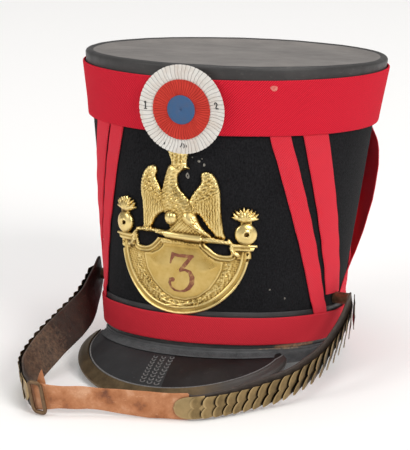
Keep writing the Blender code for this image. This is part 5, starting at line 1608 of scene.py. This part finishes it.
def oneScale(studEnd, chinward, pitch, index, draw):
    low = strap["leather"] + 2 * hat["gap"]
    share = index / scales["count"]
    lift = scales["liftTop"] + (scales["liftTip"] - scales["liftTop"]) * share ** scales["fade"]
    skew = np.interp(share, scaleSkew[:, 0], scaleSkew[:, 1])
    neck = np.interp(share, scaleNeck[:, 0], scaleNeck[:, 1])
    start = studEnd + chinward * pitch * index
    lift *= draw.uniform(0.92, 1.04)
    lean = draw.uniform(-0.25, 0.25)
    nudge = draw.uniform(-0.3, 0.2)
    row = np.linspace(-1, 1, 33)[None, :]
    run = np.concatenate([np.linspace(0, 0.88, 10), [0.93, 0.965, 0.985, 1.0]])[:, None]
    lobe = scales["lobe"] * (1.0 - (2.0 * np.abs(row) - 1.0) ** 2) ** 0.75
    reach = pitch * (-scales["tail"] + (scales["tail"] + scales["cover"]) * run)
    length = start + chinward * (reach + lobe * run ** 2 - skew * 0.5 * (row - 1.0) + nudge * run)
    bottom, top = route.edges(scaleEdges, start + chinward * reach)
    half = 0.5 * (top - bottom) * (neck + (1 - neck) * smooth((run - 0.15) * 1.2))
    rise = 0.5 * (top + bottom) + half * row
    crest = scales["root"] * 0.75 + (lift - scales["root"] * 0.75) * run ** 1.25
    dome = 1.0 - scales["crown"] * row ** 2
    swell = 0.2 * (1.0 - (2.0 * np.abs(row) - 1.0) ** 2) * smooth(run * 1.5) * (0.5 + share)
    lip = 0.22 * smooth((run - 0.9) / 0.1)
    out = low + crest * dome + swell - lip + lean * row * run
    outer = route.place(length, rise, out)
    inner = route.place(length, rise, out - scales["sheet"] + 0.35 * smooth((run - 0.93) / 0.07))
    # Painted shadow just past the neighbour's free edge, which overhangs this scale, bright on its own lip, and painted
    # shade deepening toward the stud, where the scales stand in shade
    bare = reach + 0.04 * pitch - lobe + lobe * run ** 2
    relief = 0.05 + 0.50 * smooth(bare / 2.6) + 0.30 * smooth((run - 0.88) / 0.1)
    relief = (relief + 0.10 * np.abs(row) ** 6 + draw.uniform(-0.10, 0.06)) * (0.50 + 0.50 * share ** 0.8)
    points, faces = thickSheet(outer, inner)
    count = relief.size
    return points, faces, np.concatenate([relief.ravel(), np.full(count, 0.15)])


def tongueScale(chinEnd, chinward, pitch):
    low = strap["leather"] + 2 * hat["gap"]
    run = np.linspace(-0.5, 1.0, 22)[:, None]
    row = np.linspace(-1, 1, 21)[None, :]
    tip = np.clip(run, 0, 1)
    bottom, top = route.edges(scaleEdges, chinEnd)
    half = 0.5 * (top - bottom) * np.sqrt(np.clip(1.0 - tip ** 2.6, 0.0, 1.0)) + 0.4
    rise = 0.5 * (top + bottom) + half * row
    length = chinEnd + chinward * pitch * (scales["tonguePitches"] * run * 0.97 - 0.1) + 0 * row
    out = low + 0.55 + 0.9 * (1 - row ** 2) * (1 - 0.5 * tip) - 0.35 * smooth((tip - 0.85) / 0.15)
    outer = route.place(length, rise, out)
    inner = route.place(length, rise, out - 0.5)
    relief = 0.62 + 0.2 * np.abs(row) ** 5 + 0.15 * smooth((tip - 0.85) / 0.15) + 0 * run
    points, faces = thickSheet(outer, inner)
    return points, faces, np.concatenate([relief.ravel(), np.full(relief.size, 0.2)])


def makeScales(name, node, studEnd, chinEnd, seed):
    draw = np.random.default_rng(seed)
    chinward = 1.0 if chinEnd > studEnd else -1.0
    pitch = abs(chinEnd - studEnd) / scales["count"]
    parts = [oneScale(studEnd, chinward, pitch, i, draw) for i in range(scales["count"])]
    parts.append(tongueScale(chinEnd, chinward, pitch))
    fixed = []
    for points, faces, marks in parts:
        # Each sheet faces outward by itself, because their windings differ from side to side
        if signedVolume(points, faces) < 0:
            faces = [side[::-1] for side in faces]
        fixed.append((points, faces))
    points, faces = joinParts(fixed)
    makePiece(name, (points, faces), finishes["scale"], [node],
              marks={"relief": np.concatenate([part[2] for part in parts])}, sharp=50)


buckle = {"long": 13.0, "overhang": 2.3, "wire": 3.0, "corner": 3.0, "slant": 0.24}


def makeBuckle():
    halfLong = buckle["long"] / 2 - buckle["wire"] / 2
    halfHigh = strap["front"] / 2 + buckle["overhang"] - buckle["wire"] / 2
    corner = buckle["corner"]
    path = []
    for cx, cy, start in ((1, 1, 0), (-1, 1, 90), (-1, -1, 180), (1, -1, 270)):
        for a in np.radians(np.linspace(start, start + 90, 7)):
            path.append((cx * (halfLong - corner) + corner * math.cos(a), cy * (halfHigh - corner) + corner * math.sin(a)))
    path = np.array(path)
    follow = np.roll(path, -1, 0) - np.roll(path, 1, 0)
    follow /= np.linalg.norm(follow, axis=1, keepdims=True)
    side = np.stack([follow[:, 1], -follow[:, 0]], -1)
    turn = np.linspace(0, 2 * math.pi, 12, endpoint=False)
    wire = buckle["wire"] / 2
    low = strap["leather"] + hat["gap"] + wire
    middle = strap["buckle"] * route.total
    x = path[:, None, 0] + side[:, None, 0] * wire * np.cos(turn)
    y = path[:, None, 1] + side[:, None, 1] * wire * np.cos(turn)
    x = x + buckle["slant"] * y
    out = low + wire * 0.95 * np.sin(turn) + 0 * x
    along, outward, up = route.axes(middle)
    sections = route.at(middle) + along * x[..., None] + up * y[..., None] + outward * out[..., None]
    makePiece("buckleFrame", sweep(sections * mm, True), finishes["steel"], ["buckle"])


tip = {"length": 17.0, "width": 8.0, "leather": 1.1, "rise": 2.0, "shift": 0.0}


def makeTip():
    run = np.concatenate([[-0.12], np.linspace(0, 1, 20)])[:, None]
    across = np.linspace(-1, 1, 9)[None, :]
    half = 0.5 * tip["width"] * np.interp(run, [-0.12, 0.0, 0.45, 0.8, 0.95, 1.0], [1.0, 1.0, 0.93, 0.42, 0.15, 0.05])
    middle = strap["buckle"] * route.total + tip["shift"]
    bend = 0.35 * np.sin(run * 3.0)
    inner = hat["gap"] + 2 * tip["leather"] - bend
    thin = 0.25 * np.abs(across) ** 4
    outerFace = route.place(middle + half * across, tip["rise"] + tip["length"] * run, -inner + tip["leather"] - thin)
    innerFace = route.place(middle + half * across, tip["rise"] + tip["length"] * run, -inner + thin + 0 * across)
    makePiece("strapTipLeather", thickSheet(outerFace, innerFace), finishes["brown"], ["strap_tip"])


def makeStrap():
    total = route.total
    rightEnd, frontEnd = strap["rightBacking"] * total, strap["frontEnd"] * total

    def ragged(across):
        return 1.6 * np.cos(across * 1.9) + 0.7 * np.sin(across * 7.0) + 0.35 * np.sin(across * 17.0) - 1.2

    back = leatherStrip(0.0, rightEnd, 71)
    makePiece("strapRightLeather", back, finishes["strap"], ["strap_right"])
    front = leatherStrip(rightEnd + hat["gap"], frontEnd, 72, 0.4, ragged)
    makePiece("strapFrontLeather", front, finishes["brown"], ["strap_front"])
    back = leatherStrip(frontEnd + hat["gap"], total + 7.0, 73)
    across = len(strapAcross())
    share = np.repeat(np.linspace(strap["frontEnd"], 1.0, len(back[0]) // 2 // across), across)
    rubbed = 0.62 * smooth((share - 0.66) / 0.05) * smooth((0.86 - share) / 0.08)
    makePiece("strapLeftLeather", back, finishes["strap"], ["strap_left"],
              marks={"worn": np.tile(rubbed, 2)})
    makeScales("scalesRightBrass", "scales_right", 0.0, strap["rightScales"] * total, 81)
    makeScales("scalesLeftBrass", "scales_left", total, strap["leftScales"] * total, 82)
    makeBuckle()
    makeTip()
    print("chin strap done")


def dressStuds():
    for node in ("stud_right", "stud_left"):
        stud = bpy.data.objects[node]
        stud.data.materials.clear()
        stud.data.materials.append(finishes["steel"])


setUpStudio()
makeFinishes()
makeCrown()
makeLeatherTop()
makeTopBand()
makeLint()
makeBaseStrips()
makeTapes()
makePeak()
makeCockade()
makePlate()
makeStrap()
dressStuds()
